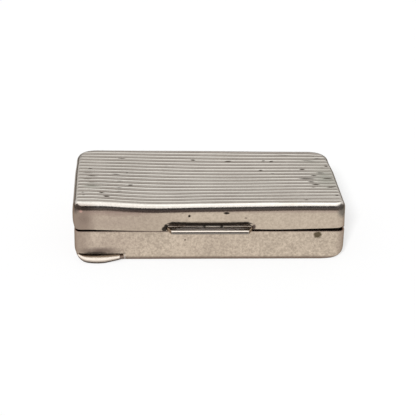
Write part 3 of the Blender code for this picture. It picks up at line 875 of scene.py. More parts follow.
@dataclass(frozen=True)
class Reeding:
    """The reeding's sizes, and the Geometry Nodes tree that presses it into the lid.

    Its land rise is how steeply the painted highlight on the ribs starts in front of the first groove.
    """

    first: float = -18.5 * MM
    pitch: float = 2.336 * MM
    slant: float = 0.0093
    count: int = 17
    groove_width: float = 0.95 * MM
    groove_depth: float = 0.20 * MM
    crown: float = 0.07 * MM
    land_rise: float = 5.0

    def tree(self) -> tuple[bpy.types.NodeTree, dict[str, object]]:
        """Builds the tree.

        Returns:
            The tree, and the value for each of its named inputs.
        """
        tree = bpy.data.node_groups.new("reeding", "GeometryNodeTree")
        tree.interface.new_socket(name="Geometry", in_out="INPUT", socket_type="NodeSocketGeometry")
        tree.interface.new_socket(name="Geometry", in_out="OUTPUT", socket_type="NodeSocketGeometry")
        values = {"First Groove": self.first, "Pitch": self.pitch, "Last Groove": float(self.count - 1),
                  "Slant": self.slant, "Groove Width": self.groove_width,
                  "Groove Depth": self.groove_depth, "Crown": self.crown, "Land Rise": self.land_rise}
        for name in values:
            tree.interface.new_socket(name=name, in_out="INPUT", socket_type="NodeSocketFloat")
        tree.interface.new_socket(name="Material", in_out="INPUT", socket_type="NodeSocketMaterial")
        nodes = Nodes(tree)
        given = nodes.add("NodeGroupInput", {}).outputs
        spot = nodes.add("GeometryNodeInputPosition", {}).outputs[0]
        x, y, _ = nodes.add("ShaderNodeSeparateXYZ", {0: spot}).outputs
        y = nodes.math("MULTIPLY_ADD", x, given["Slant"], y)
        counted = nodes.math("DIVIDE", nodes.math("SUBTRACT", y, given["First Groove"]), given["Pitch"])
        nearest = nodes.math("MAXIMUM", nodes.math("ROUND", counted), 0.0)
        nearest = nodes.math("MINIMUM", nearest, given["Last Groove"])
        off = nodes.math("ABSOLUTE", nodes.math("SUBTRACT", counted, nearest))
        away = nodes.times(off, given["Pitch"])
        half_width = nodes.times(given["Groove Width"], 0.5)
        groove = nodes.rise(away, 0.0, half_width, 1.0, 0.0)
        edge = nodes.math("SUBTRACT", 1.0, nodes.times(off, 2.0), clamp=True)
        crown = nodes.times(nodes.math("POWER", edge, 2.5), given["Crown"])
        reach = nodes.add("GeometryNodeInputNamedAttribute", {"Name": "reach"}, data_type="FLOAT").outputs[0]
        depth = nodes.math("MULTIPLY_ADD", groove, given["Groove Depth"], crown)
        drop = nodes.times(nodes.times(depth, reach), -1.0)
        offset = nodes.add("ShaderNodeCombineXYZ", {"Z": drop}).outputs[0]
        # The weight of the ribs' painted highlight, full in front of the first groove.
        front_land = nodes.times(nodes.times(counted, given["Land Rise"]), -1.0)
        crest_highlight = nodes.math("MAXIMUM", nodes.times(off, 2.0), front_land)
        crest_highlight = nodes.math("MINIMUM", crest_highlight, 1.0)
        kept = given["Geometry"]
        for name, value in (("groove", nodes.times(groove, reach)), ("crest_highlight", crest_highlight)):
            feeds = {"Geometry": kept, "Name": name, "Value": value}
            kept = nodes.add("GeometryNodeStoreNamedAttribute", feeds, data_type="FLOAT",
                             domain="POINT").outputs[0]
        pressed = nodes.add("GeometryNodeSetPosition", {"Geometry": kept, "Offset": offset}).outputs[0]
        real = nodes.add("GeometryNodeRealizeInstances", {"Geometry": pressed}).outputs[0]
        dressed = nodes.add("GeometryNodeSetMaterial", {"Geometry": real, "Material": given["Material"]})
        nodes.add("NodeGroupOutput", {"Geometry": dressed.outputs[0]})
        return tree, values

    def press(self, piece: bpy.types.Object, material: bpy.types.Material) -> None:
        """Presses the reeding into a piece and settles it.

        Args:
            piece: The piece, with its reach attribute.
            material: The piece's material.
        """
        tree, values = self.tree()
        modifier = piece.modifiers.new("reeding", "NODES")
        modifier.node_group = tree
        values["Material"] = material
        for item in tree.interface.items_tree:
            if item.in_out == "INPUT" and item.name in values:
                modifier[item.identifier] = values[item.name]
        settle(piece)


# Each nick: its X and Y and its reach along X, in millimetres, and its strength.
NICKS = (
    (-25.8, 13.8, 0.8, 1.0), (-28.7, 18.9, 0.5, 0.8), (-35.5, 5.2, 0.6, 0.9), (-35.4, 2.3, 1.9, 0.6),
    (-34.9, -0.2, 1.3, 0.62), (-35.6, -2.4, 1.6, 0.6), (-34.3, -4.8, 1.5, 0.6), (-34.4, -7.1, 2.2, 0.55),
    (-24.2, 2.7, 0.4, 0.95), (-27.4, 1.3, 1.2, 0.6), (-23.1, -5.9, 0.6, 0.95), (-26.3, -3.4, 0.9, 0.5),
    (-31.6, -12.0, 0.5, 0.95), (-30.1, -14.6, 0.7, 0.9), (-36.8, -14.2, 0.5, 0.55), (-37.2, -12.4, 0.5, 0.5),
    (-26.5, -8.1, 0.9, 0.55), (-26.5, -10.4, 0.9, 0.5), (-3.5, 13.0, 0.6, 0.8), (-12.0, 8.4, 0.75, 0.35),
    (8.0, 19.6, 0.6, 0.6), (7.5, 12.4, 0.9, 0.85), (18.6, 12.6, 0.45, 0.8), (21.1, 12.3, 0.6, 0.8),
    (25.6, 17.1, 2.6, 0.5), (17.1, 5.4, 0.5, 0.9), (20.5, 3.0, 0.6, 0.5), (30.0, 5.7, 0.7, 0.85),
    (33.1, 12.5, 2.0, 0.55), (36.2, 14.4, 1.0, 0.5), (38.0, 8.1, 0.4, 0.9), (35.3, 3.0, 1.0, 0.7),
    (33.1, 0.9, 0.75, 0.8), (30.7, -1.4, 2.0, 0.85), (37.0, -1.5, 1.2, 0.85), (31.7, -3.8, 0.75, 0.85),
    (32.8, -5.9, 1.0, 0.8), (31.7, -7.9, 0.6, 0.5), (37.3, -7.9, 1.1, 0.85), (38.0, -13.8, 0.45, 0.6),
    (28.5, -17.3, 0.6, 0.5), (36.6, 6.9, 0.75, 0.5),
)


@dataclass
class Lid:
    """The lid: pressed sheet with a rounded edge, a reeded top, and the dents of long use.

    Each of its gaps is an X and how far the front's seam is open there. Its bent end is a row of
    heights and how far the left end is pushed in there. Both are in millimetres. Its pinch is how
    far its left and its right back edge are drawn in.
    """

    plan: Plan
    reeding: Reeding
    hinge: HingeLine
    finish: Silver
    height: float = 18.0 * MM
    seam: float = 9.4 * MM
    sheet: float = 0.8 * MM
    edge_height: float = 2.25 * MM
    worn_corners: tuple[float, float] = (3.3 * MM, 6.3 * MM)
    edge: Inset = Inset(1.3 * MM, 2.2 * MM, 1.5 * MM)
    border: tuple[float, float] = (0.95 * MM, 1.7 * MM)
    columns: int = 160
    rows_in_pitch: int = 13
    edge_steps: int = 12
    inner_steps: int = 6
    wall_shares: tuple[float, ...] = (0.9, 0.78, 0.66, 0.54, 0.42, 0.3, 0.18, 0.08)
    inner_shares: tuple[float, ...] = (0.02, 0.35, 0.7)
    lower_curl: tuple[tuple[float, float], ...] = ((0.0, 0.16), (0.04, 0.05), (0.14, 0.0))
    level: tuple[float, float, float] = (0.03, 0.21 / 40, 0.23 / 21)
    dents: tuple[Dent, ...] = (
        Dent(-17.7, -14.9, 15.1, 11.9, 0.75),
        Dent(2.2, -3.4, 28.3, 20.7, 0.73),
        Dent(-17.5, -21.5, 11.0, 2.6, 0.26),
        Dent(3.0, -21.5, 10.0, 3.5, 0.14),
        Dent(27.0, -21.5, 9.0, 3.0, -0.09),
        Dent(-32.0, -21.5, 6.0, 3.0, -0.14),
        Dent(-36.0, -21.5, 4.0, 3.0, 0.10),
        Dent(1.0, 21.5, 19.0, 6.0, -0.19),
    )
    gaps: tuple[tuple[float, float], ...] = (
        (-40, 0.50), (-35, 0.50), (-30, 0.34), (-24.5, 0.15), (-17.7, 0.02), (-13.5, 0.02), (12.6, 0.45),
        (13.6, 0.58), (16.5, 0.48), (21, 0.46), (29, 0.66), (36, 0.84), (38.4, 1.0), (40, 1.35),
    )
    even_gap: float = 0.3 * MM
    side_gap: float = 0.5 * MM
    ghost_reeding: float = 0.45
    rubbed_loss: float = 0.55
    rubbed_patches: tuple[Dent, ...] = (
        Dent(36.3, -1.0, 3.4, 7.5, 0.95),
        Dent(-34.6, -7.6, 2.6, 1.4, 0.9),
        Dent(34.0, 12.0, 4.0, 3.0, 0.35),
    )
    front_land: tuple[float, float] = (-20.25 * MM, -19.2 * MM)
    back_land: tuple[float, float] = (19.6 * MM, 19.3 * MM)
    nick_stretch: float = 1.3
    nick_spread: float = 0.40
    nick_strength: float = 0.85
    nick_depth: float = 0.13 * MM
    nick_slant: float = 0.16
    back_edge_shade: float = 0.31
    bent_end: tuple[tuple[float, float], ...] = (
        (9.6, 0.62), (10.6, 0.36), (11.7, 0.10), (12.7, 0.0), (14.4, 0.0), (16.1, 0.10), (18.0, 0.18),
    )
    pinch: tuple[float, float] = (0.22 * MM, 0.42 * MM)

    def right_ends(self) -> list[Place]:
        """Lists where the top's rows of points end at the right, from the front to the back."""
        front_radius, back_radius = self.plan.radii(self.edge)
        low = -self.plan.depth / 2 + self.edge.front + front_radius
        high = self.plan.depth / 2 - self.edge.back - back_radius
        ends = [Place(Stretch.FRONT, 1.0)]
        ends += [Place(Stretch.FRONT_RIGHT, share) for share in (0.25, 0.5, 0.75)]
        ends.append(Place(Stretch.RIGHT, 0.0))
        step = self.reeding.pitch / self.rows_in_pitch
        y = self.reeding.first
        while y < low + 0.3 * step:
            y += step
        while y < high - 0.3 * step:
            ends.append(Place(Stretch.RIGHT, (y - low) / (high - low)))
            y += step
        ends.append(Place(Stretch.RIGHT, 1.0))
        y += step if y < high + 0.3 * step else 0.0
        while y < high + back_radius * sin(radians(60)):
            ends.append(Place(Stretch.BACK_RIGHT, asin((y - high) / back_radius) * 2 / pi))
            y += step
        ends += [Place(Stretch.BACK_RIGHT, angle / 90) for angle in (66, 72, 78, 84)]
        ends.append(Place(Stretch.BACK, 0.0))
        return ends

    def around(self, ends: list[Place]) -> list[Place]:
        """Lists the places all round the top, to match the edge of its grid of points."""
        shares = [column / self.columns for column in range(self.columns + 1)]
        places = [Place(Stretch.FRONT, share) for share in shares]
        places += ends[1:-1]
        places += [Place(Stretch.BACK, share) for share in shares]
        places += [end.mirrored() for end in ends[-2:0:-1]]
        return places

    def top_grid(self, ends: list[Place]) -> np.ndarray:
        """Finds the X and Y of the top's points, row by row."""
        right = self.plan.level(ends, self.edge)
        shares = np.linspace(-1.0, 1.0, self.columns + 1)
        x = right[:, :1] * shares[None, :]
        return np.stack([x, np.broadcast_to(right[:, 1:], x.shape)], axis=-1)

    def lower_edge(self, outline: np.ndarray) -> np.ndarray:
        """Finds the height of the lid's lower edge along the outline: it no longer shuts evenly."""
        x, y = outline.T
        gap = np.interp(x / MM, *zip(*self.gaps)) * MM
        beside = smooth(np.abs(x), 39.3 * MM, 39.9 * MM) * smooth(y, -20.3 * MM, -19.0 * MM)
        gap += (self.side_gap - gap) * beside
        return self.seam + self.even_gap + (gap - self.even_gap) * smooth(y, 12 * MM, -12 * MM)

    def draw(self) -> bpy.types.Object:
        """Draws the lid before its reeding, and stores its attributes.

        Returns:
            The undressed lid.
        """
        ends = self.right_ends()
        places = self.around(ends)
        outline = self.plan.level(places, Inset())
        low = self.lower_edge(outline)
        spring = self.height - self.edge_height
        draft = Draft()
        plateau: list[float] = []
        inside: list[float] = []

        def keep(numbers: np.ndarray, top_share: float, inner: float) -> np.ndarray:
            """Notes two attributes of some points and passes their numbers on."""
            plateau.extend([top_share] * numbers.size)
            inside.extend([inner] * numbers.size)
            return numbers

        grid = self.top_grid(ends)
        shape = grid.shape[:2]
        heights = np.full(shape + (1,), self.height)
        top = keep(draft.add(np.concatenate([grid, heights], axis=-1)), 1.0, 0.0).reshape(shape)
        rings = [draft.rim(top)]
        for step in range(self.edge_steps - 1, -1, -1):
            angle = pi / 2 * step / self.edge_steps
            level = self.plan.level(places, self.edge.curled(angle))
            rings.append(keep(draft.ring(level, spring + self.edge_height * sin(angle)), sin(angle), 0.0))
        for share in self.wall_shares:
            rings.append(keep(draft.ring(outline, low + share * (spring - low)), 0.0, 0.0))
        for inset, rise in self.lower_curl:
            level = self.plan.level(places, Inset.even(inset * MM))
            rings.append(keep(draft.ring(level, low + rise * MM), 0.0, 0.0))
        level = self.plan.level(places, Inset.even(self.sheet - 0.1 * MM))
        rings.append(keep(draft.ring(level, low), 0.0, 0.5))
        level = self.plan.level(places, Inset.even(self.sheet))
        for share in self.inner_shares:
            rings.append(keep(draft.ring(level, low + share * (spring - low)), 0.0, 1.0))
        for step in range(self.inner_steps):
            angle = pi / 2 * step / self.inner_steps
            level = self.plan.level(places, self.edge.curled(angle, self.sheet))
            height = spring + (self.edge_height - self.sheet) * sin(angle)
            rings.append(keep(draft.ring(level, height), 0.0, 1.0))
        heights = np.full(shape + (1,), self.height - self.sheet)
        under = keep(draft.add(np.concatenate([grid, heights], axis=-1)), 0.0, 1.0).reshape(shape)
        rings.append(draft.rim(under))
        draft.grid(top, True)
        draft.skin(rings)
        draft.grid(under, False)
        lid = draft.piece("lid_reeded_shell")
        self.mark(lid, np.array(plateau), np.array(inside))
        return lid

    def mark(self, lid: bpy.types.Object, share: np.ndarray, inner: np.ndarray) -> None:
        """Stores the attributes that the reeding and the finish read.

        Args:
            lid: The lid before its reeding.
            share: How near each point is to the top's plateau, from 0 to 1.
            inner: Whether each point is inside, from 0 to 1.
        """
        points = coordinates(lid)
        bare = smooth(self.plan.depth_inside(points[:, 0], points[:, 1]), *self.border)
        ghost = self.ghost_reeding * (inner > 0.9) * (points[:, 2] > self.height - self.sheet - 0.01 * MM)
        rubbed = self.rubbed(points)
        store(lid, "plateau", share)
        store(lid, "inside", inner)
        store(lid, "rubbed", rubbed)
        store(lid, "reach", bare * np.maximum(share, ghost) * (1.0 - self.rubbed_loss * rubbed))
        along = points[:, 1] + self.reeding.slant * points[:, 0]
        within = smooth(points[:, 1], *self.back_land) * smooth(along, *self.front_land)
        store(lid, "ribbed", bare * share * within)
        store(lid, "shade", self.shade(points) * (1.0 - smooth(share, 0.6, 1.0)) * (1.0 - inner))

    @staticmethod
    def shade(points: np.ndarray) -> np.ndarray:
        """Works out how much painted shade the walls get, from 0 to 1: most at the left end."""
        x, y, _ = points.T
        left = 0.9 * smooth(x, -31.5 * MM, -36.5 * MM) * (1.0 - 0.5 * smooth(y, -15 * MM, 10 * MM))
        middle = 0.22 * np.exp(-((x / MM + 17.0) / 12.0) ** 2)
        right = 0.10 * smooth(x, 0.0, 10 * MM) + 0.6 * smooth(x, 38.3 * MM, 39.7 * MM)
        return np.maximum(np.maximum(left, middle), right)

    def rubbed(self, points: np.ndarray) -> np.ndarray:
        """Marks where the ribs are rubbed down, from 0 to 1."""
        x, y = points[:, 0], points[:, 1]
        return np.clip(sum(patch.at(x, y) for patch in self.rubbed_patches) / MM, 0.0, 1.0)

    def wear(self, lid: bpy.types.Object) -> None:
        """Dents the lid: its dished top, its crushed front edge, its nicks and its bent left end.

        Args:
            lid: The lid, with its reeding pressed in.
        """
        points = coordinates(lid)
        x, y, z = points.T
        rest, tilt_x, tilt_y = self.level
        drop = rest * MM + tilt_x * x + tilt_y * y + sum(dent.at(x, y) for dent in self.dents)
        dark_marks_and_shade = np.zeros(len(points))
        on_top = z > self.height - 0.6 * MM
        for nick_x, nick_y, long, strength in NICKS:
            slant = self.nick_slant * sin(5.0 * nick_x) * (x - nick_x * MM)
            nick = Dent(nick_x, nick_y, self.nick_stretch * long, self.nick_spread, 1.0).at(x, y + slant) / MM
            nick = self.nick_strength * strength * nick
            dark_marks_and_shade = np.maximum(dark_marks_and_shade, nick)
            drop = drop + np.where(on_top, self.nick_depth * nick, 0.0)
        dark_marks_and_shade = np.where(on_top, dark_marks_and_shade, 0.0)
        # Painted shade along the top's back edge and back corners, added to the darkened nicks.
        corner = self.plan.back_corner
        out = np.hypot(np.maximum(np.abs(x) - self.plan.width / 2 + corner, 0.0),
                       np.maximum(y - self.plan.depth / 2 + corner, 0.0))
        back = self.back_edge_shade * smooth(out, 2.5 * MM, 3.0 * MM) * smooth(y, 8.0 * MM, 16.0 * MM)
        store(lid, "dark_marks_and_shade", np.maximum(dark_marks_and_shade, back * (z > self.height - 1.8 * MM)))
        points[:, 2] = z - np.clip(drop, 0.0, None) * smooth(z, 11.0 * MM, 15.6 * MM)
        inner = np.array([item.value for item in lid.data.attributes["inside"].data])
        push = np.interp(z, *(np.array(self.bent_end).T * MM))
        fade = smooth(x, -36.0 * MM, -39.0 * MM) * smooth(y, 14.0 * MM, -16.0 * MM)
        points[:, 0] += push * fade * np.where(inner > 0.4, 0.4, 1.0)
        for at_back, radius in enumerate(self.worn_corners):
            self.plan.soften(points, bool(at_back), radius, smooth(z, 8.0 * MM, 18.5 * MM))
        left, right = self.pinch
        pinch = right * smooth(x, 20.0 * MM, 39.0 * MM) - left * smooth(x, -20.0 * MM, -39.0 * MM)
        points[:, 0] -= pinch * smooth(y, 4.0 * MM, 13.0 * MM) * smooth(z, 10.0 * MM, 15.0 * MM)
        place_points(lid, points)

    def build(self) -> bpy.types.Object:
        """Builds the lid and lets it ride.

        Returns:
            The lid.
        """
        lid = self.draw()
        self.reeding.press(lid, self.finish.material())
        self.wear(lid)
        for cutter in self.hinge.cutters():
            cut(lid, cutter)
            bpy.data.objects.remove(cutter)
        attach(lid, Body.LID.value)
        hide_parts("lid_shell")
        return lid


@dataclass
class Base:
    """The base: a tray whose ends roll under, and the hatch that is cut from it."""

    plan: Plan
    hinge: HingeLine
    finish: Silver
    seam: float = 9.4 * MM
    sheet: float = 0.8 * MM
    roll_width: float = 4.1 * MM
    roll_height: float = 4.6 * MM
    roll_fullness: float = 2.6
    foot_edge: float = 0.8 * MM
    front_columns: int = 110
    side_rows: int = 56
    corner_steps: tuple[int, int] = (7, 12)
    roll_steps: int = 18
    wall_shares: tuple[float, ...] = (0.97, 0.85, 0.7, 0.55, 0.4, 0.25, 0.12)
    hatch_left: float = -39.0 * MM
    hatch_right: float = -24.9 * MM
    hatch_top: float = 2.1 * MM
    hatch_flat_left: float = -35.9 * MM
    hatch_back: float = 14.3 * MM
    hatch_shoulder: float = 13.64 * MM
    opening_back: float = 16.7 * MM
    seam_grow: tuple[float, float] = (0.10 * MM, 0.19 * MM)
    bent_end: float = 0.50 * MM
    worn_foot: float = 0.28 * MM

    def places(self) -> list[Place]:
        """Lists the places all round the tray."""
        runs = {Stretch.FRONT: self.front_columns, Stretch.BACK: self.front_columns,
                Stretch.RIGHT: self.side_rows, Stretch.LEFT: self.side_rows,
                Stretch.FRONT_RIGHT: self.corner_steps[0], Stretch.FRONT_LEFT: self.corner_steps[0],
                Stretch.BACK_RIGHT: self.corner_steps[1], Stretch.BACK_LEFT: self.corner_steps[1]}
        return [Place(stretch, step / runs[stretch]) for stretch in Stretch for step in range(runs[stretch])]

    def draw(self, name: str, material: bpy.types.Material) -> bpy.types.Object:
        """Draws the whole tray, before anything is cut out of it.

        Args:
            name: The piece's name.
            material: Its material.

        Returns:
            The tray.
        """
        places = self.places()
        draft = Draft()
        rings = []
        for inset, height in ((self.sheet, self.seam - 0.1 * MM), (self.sheet - 0.1 * MM, self.seam),
                              (0.12 * MM, self.seam), (0.03 * MM, self.seam - 0.04 * MM)):
            level = self.plan.level(places, Inset.even(inset))
            rings.append(draft.ring(level, height))
        outline = self.plan.level(places, Inset())
        for share in self.wall_shares:
            rings.append(draft.ring(outline, self.roll_height + share * (self.seam - self.roll_height)))
        power = 2 / self.roll_fullness
        for step in range(self.roll_steps + 1):
            angle = pi / 2 * step / self.roll_steps
            height = self.roll_height * (1 - sin(angle) ** power)
            reach = max(self.foot_edge - height, 0.0)
            ease = self.foot_edge - sqrt(self.foot_edge ** 2 - reach ** 2)
            inset = Inset(self.roll_width * (1 - max(cos(angle), 0.0) ** power), ease, ease)
            rings.append(draft.ring(self.plan.level(places, inset), height))
        floor = []
        for step in range(self.roll_steps, -1, -1):
            angle = pi / 2 * step / self.roll_steps
            side = self.sheet + (self.roll_width - self.sheet) * (1 - cos(angle))
            height = self.roll_height - (self.roll_height - self.sheet) * sin(angle)
            floor.append(draft.ring(self.plan.level(places, Inset(side, self.sheet, self.sheet)), height))
        draft.skin(rings)
        draft.cap(rings[-1], False)
        draft.skin(floor + rings[:1])
        draft.cap(floor[0], True)
        tray = draft.piece(name, material)
        self.wear(tray, sum(len(ring) for ring in rings))
        settle(tray)
        return tray

    def wear(self, tray: bpy.types.Object, outer_count: int) -> None:
        """Bends the tray's left end, wears its right front foot down and stores its shade.

        Args:
            tray: The tray.
            outer_count: How many of its points are outside. They are its first ones.
        """
        points = coordinates(tray)
        x, y, z = points.T
        push = self.bent_end * smooth(z, 0.3 * MM, 2.2 * MM) * smooth(x, -35.5 * MM, -39.0 * MM)
        outer = np.arange(len(points)) < outer_count
        points[:, 0] += push * smooth(y, 14.0 * MM, -16.0 * MM) * np.where(outer, 1.0, 0.35)
        at_foot = smooth(y, -8.0 * MM, -19.0 * MM) * smooth(z, 3.0 * MM, 0.5 * MM)
        points[:, 2] += self.worn_foot * smooth(x, 33.0 * MM, 37.5 * MM) * at_foot
        left = 0.65 * smooth(x, -33.5 * MM, -37.5 * MM) * (1.0 - 0.5 * smooth(y, -15 * MM, 10 * MM))
        left = left + 0.25 * smooth(x, -38.0 * MM, -39.3 * MM) + 0.12 * np.exp(-(x / (9.0 * MM)) ** 2)
        store(tray, "shade", np.maximum(left, 0.75 * smooth(x, 36.8 * MM, 39.8 * MM)) * outer)
        place_points(tray, points)

    def hatch_outline(self, grow: float, back: float, shoulder: float) -> list[tuple[float, float]]:
        """Lists the corners of the hatch in plan.

        Args:
            grow: How much larger than the hatch's own sizes it is.
            back: Where its hinged part ends.
            shoulder: Where it ends beside the hinge.

        Returns:
            The corners, turning left.
        """
        front = -self.plan.depth / 2 - 1.0 * MM
        left, right, flat_left = self.hatch_left - grow, self.hatch_right + grow, self.hatch_flat_left - grow
        return [(left, front), (right, front), (right, back), (flat_left, back), (flat_left, shoulder),
                (left, shoulder)]

    def build(self) -> list[bpy.types.Object]:
        """Builds the base and the hatch and lets them ride.

        Returns:
            The base and the hatch.
        """
        material = self.finish.material()
        base = self.draw("base_tray", material)
        hatch = self.draw("hatch_cover", material)
        for cutter in self.hinge.cutters():
            cut(base, cutter)
            bpy.data.objects.remove(cutter)
        small, large = self.seam_grow
        opening = prism("opening", self.hatch_outline(large, self.opening_back, self.hatch_back),
                        -1.0 * MM, self.hatch_top + large)
        outline = prism("outline", self.hatch_outline(small, self.hatch_back, self.hatch_shoulder),
                        -1.0 * MM, self.hatch_top + small)
        cut(base, opening)
        cut(hatch, outline, "INTERSECT")
        for cutter in (opening, outline):
            bpy.data.objects.remove(cutter)
        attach(base, Body.BASE.value)
        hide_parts("base_shell")
        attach(hatch, Body.HATCH.value)
        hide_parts("hatch_plate")
        return [base, hatch]


@dataclass
class Thumbpiece:
    """The bar on the lid's front wall, bevelled at the front and the ends, and its solder.

    Each of its rows is a level: its height over the foot, its reach from the wall and how far
    its ends stand out, in millimetres.
    """

    finish: Silver
    wall: float = -21.0 * MM
    foot: float = 9.76 * MM
    wall_half: float = 12.6 * MM
    taper: float = 0.483
    rows: tuple[tuple[float, float, float], ...] = (
        (1.200, 2.76, 0.00), (1.185, 2.84, 0.03), (1.12, 2.98, 0.09), (0.98, 3.20, 0.18),
        (0.93, 3.26, 0.20), (0.74, 3.40, 0.23), (0.52, 3.48, 0.25), (0.36, 3.46, 0.25),
        (0.18, 3.32, 0.18), (0.05, 3.04, 0.06), (0.0, 2.76, 0.0),
    )
    root: float = 0.15 * MM
    fillet: float = 0.36 * MM
    ease: float = 0.28 * MM
    solder_stations: int = 41

    def outline(self, reach: float, widen: float) -> np.ndarray:
        """Draws one level of the bar, with eased front corners.

        Args:
            reach: How far it stands out from the wall, in millimetres.
            widen: How far each end stands out from the top face's end, in millimetres.

        Returns:
            X and Y of its points, turning left as seen from above.
        """
        half = self.wall_half + widen * MM
        reach = reach * MM
        slope = self.taper
        ease = self.ease
        corner = half - slope * reach
        right = [(corner - ease, self.wall - reach), (corner - 0.3 * ease, self.wall - reach + 0.12 * ease),
                 (corner + 0.1 * ease, self.wall - reach + 0.5 * ease),
                 (corner + slope * ease, self.wall - reach + ease)]
        for share in (0.66, 0.33, 0.0):
            right.append((half - slope * reach * share, self.wall - reach * share))
        right.append((half, self.wall + self.root))
        left = [(-x, y) for x, y in reversed(right)]
        return np.array(left + right)

    def solder(self, draft: Draft) -> None:
        """Adds the concave line of solder along the bar's top."""
        half, high = self.wall_half, self.foot + self.rows[0][0] * MM
        rings = []
        for share in np.linspace(-0.97, 0.97, self.solder_stations):
            x = share * half
            size = self.fillet * (0.8 + 0.3 * sin(x / MM * 1.3) * sin(x / MM * 0.37 + 1.0))
            section = [(size * (1 - sin(turn)), size * (1 - cos(turn))) for turn in np.linspace(0, pi / 2, 6)]
            section += [(-0.05 * MM, size), (-0.05 * MM, -self.root), (size, -self.root)]
            rings.append(draft.add([(x, self.wall - forth, high + out) for out, forth in section]))
        draft.solid(rings)

    def build(self) -> bpy.types.Object:
        """Builds the thumbpiece and lets it ride.

        Returns:
            The thumbpiece.
        """
        draft = Draft()
        draft.solid([draft.ring(self.outline(reach, widen), self.foot + rise * MM)
                     for rise, reach, widen in self.rows])
        self.solder(draft)
        bar = draft.piece("thumbpiece_bar", self.finish.material())
        settle(bar, 30.0)
        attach(bar, Body.LID.value)
        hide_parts("thumbpiece")
        return bar


@dataclass
class Lip:
    """The crescent lip on the hatch's front: a thin leaf that falls away from the wall.

    Each of its bows is a share of its length and the share of its full reach there.
    """

    finish: Silver
    wall: float = -21.0 * MM
    left: float = -38.55 * MM
    length: float = 13.4 * MM
    reach: float = 2.85 * MM
    roots: tuple[float, float] = (2.05 * MM, 2.0 * MM)
    edge: float = 0.60 * MM
    leaf: float = 0.5 * MM
    blunt: float = 0.12 * MM
    bows: tuple[tuple[float, float], ...] = (
        (0.0, 0.10), (0.02, 0.29), (0.07, 0.56), (0.13, 0.77), (0.20, 0.90), (0.32, 0.98), (0.45, 1.0),
        (0.59, 0.95), (0.72, 0.81), (0.86, 0.64), (0.93, 0.54), (1.0, 0.40),
    )
    stations: int = 72
    steps: int = 14
    shaded_end: float = 0.92

    def build(self) -> bpy.types.Object:
        """Builds the lip and lets it ride.

        Returns:
            The lip.
        """
        draft = Draft()
        rings = []
        dark_marks_and_shade: list[float] = []
        for station in range(self.stations + 1):
            share = 0.5 - 0.5 * cos(pi * station / self.stations)
            bow = float(np.interp(share, *zip(*self.bows)))
            reach = self.reach * bow
            root = self.roots[0] + (self.roots[1] - self.roots[0]) * share
            fall = (root - self.edge) * bow
            x = self.left + self.length * share
            under = root - 0.8 * self.leaf
            section = [(-0.15 * MM, under), (-0.15 * MM, root), (0.0, root)]
            blunt = min(self.blunt, 0.3 * reach)
            for step in range(1, self.steps + 1):
                out = step / self.steps
                section.append((out * (reach - blunt), root - fall * (0.3 * out + 0.7 * out * out)))
            tip = root - fall
            # Painted shade on the leaf: below its root, along its lower edge, on its tip and over its right
            # end.
            shaded_reach = 0.3 * smooth(np.array(share), 0.02, 0.10) * smooth(np.array(share), 0.62, 0.40) + 0.02
            depths = np.array([0.0] * 3 + [step / self.steps for step in range(1, self.steps + 1)])
            at_root = 0.95 * smooth(depths, shaded_reach + 0.12, shaded_reach - 0.05)
            at_edge = 0.75 * smooth(depths, 0.80, 0.90)
            dark_marks_and_shade += np.maximum(at_root, at_edge).tolist() + [0.9] * 4
            if share > self.shaded_end:
                dark_marks_and_shade[-self.steps - 7:] = [1.0] * (self.steps + 7)
            section += [(reach - 0.3 * blunt, tip - 0.7 * blunt), (reach, tip - 1.6 * blunt),
                        (reach - 0.5 * blunt, tip - 2.4 * blunt)]
            section.append((0.6 * reach, root - 0.5 * fall - self.leaf))
            rings.append(draft.add([(x, self.wall - out, height) for out, height in section]))
        draft.solid(rings[::-1])
        lip = draft.piece("hatch_crescent_lip", self.finish.material())
        store(lip, "shade", np.array(dark_marks_and_shade))
        settle(lip, 40.0)
        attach(lip, Body.HATCH.value)
        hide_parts("hatch_lip")
        return lip


@dataclass
class Fittings:
    """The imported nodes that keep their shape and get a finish: the inside and the hinges."""

    inner: Silver
    hinge: Silver

    def dress(self) -> list[bpy.types.Object]:
        """Gives each fitting its material.

        Returns:
            The dressed nodes.
        """
        finishes = {Slot.INNER.value: self.inner.material(), Slot.HINGE.value: self.hinge.material()}
        slots = {part["node"]: part["material_slot"] for part in frame["record"]["subparts"]}
        dressed = []
        for name, node in frame["nodes"].items():
            material = finishes.get(slots.get(name))
            if material:
                node.data.materials.clear()
                node.data.materials.append(material)
                dressed.append(node)
        return dressed


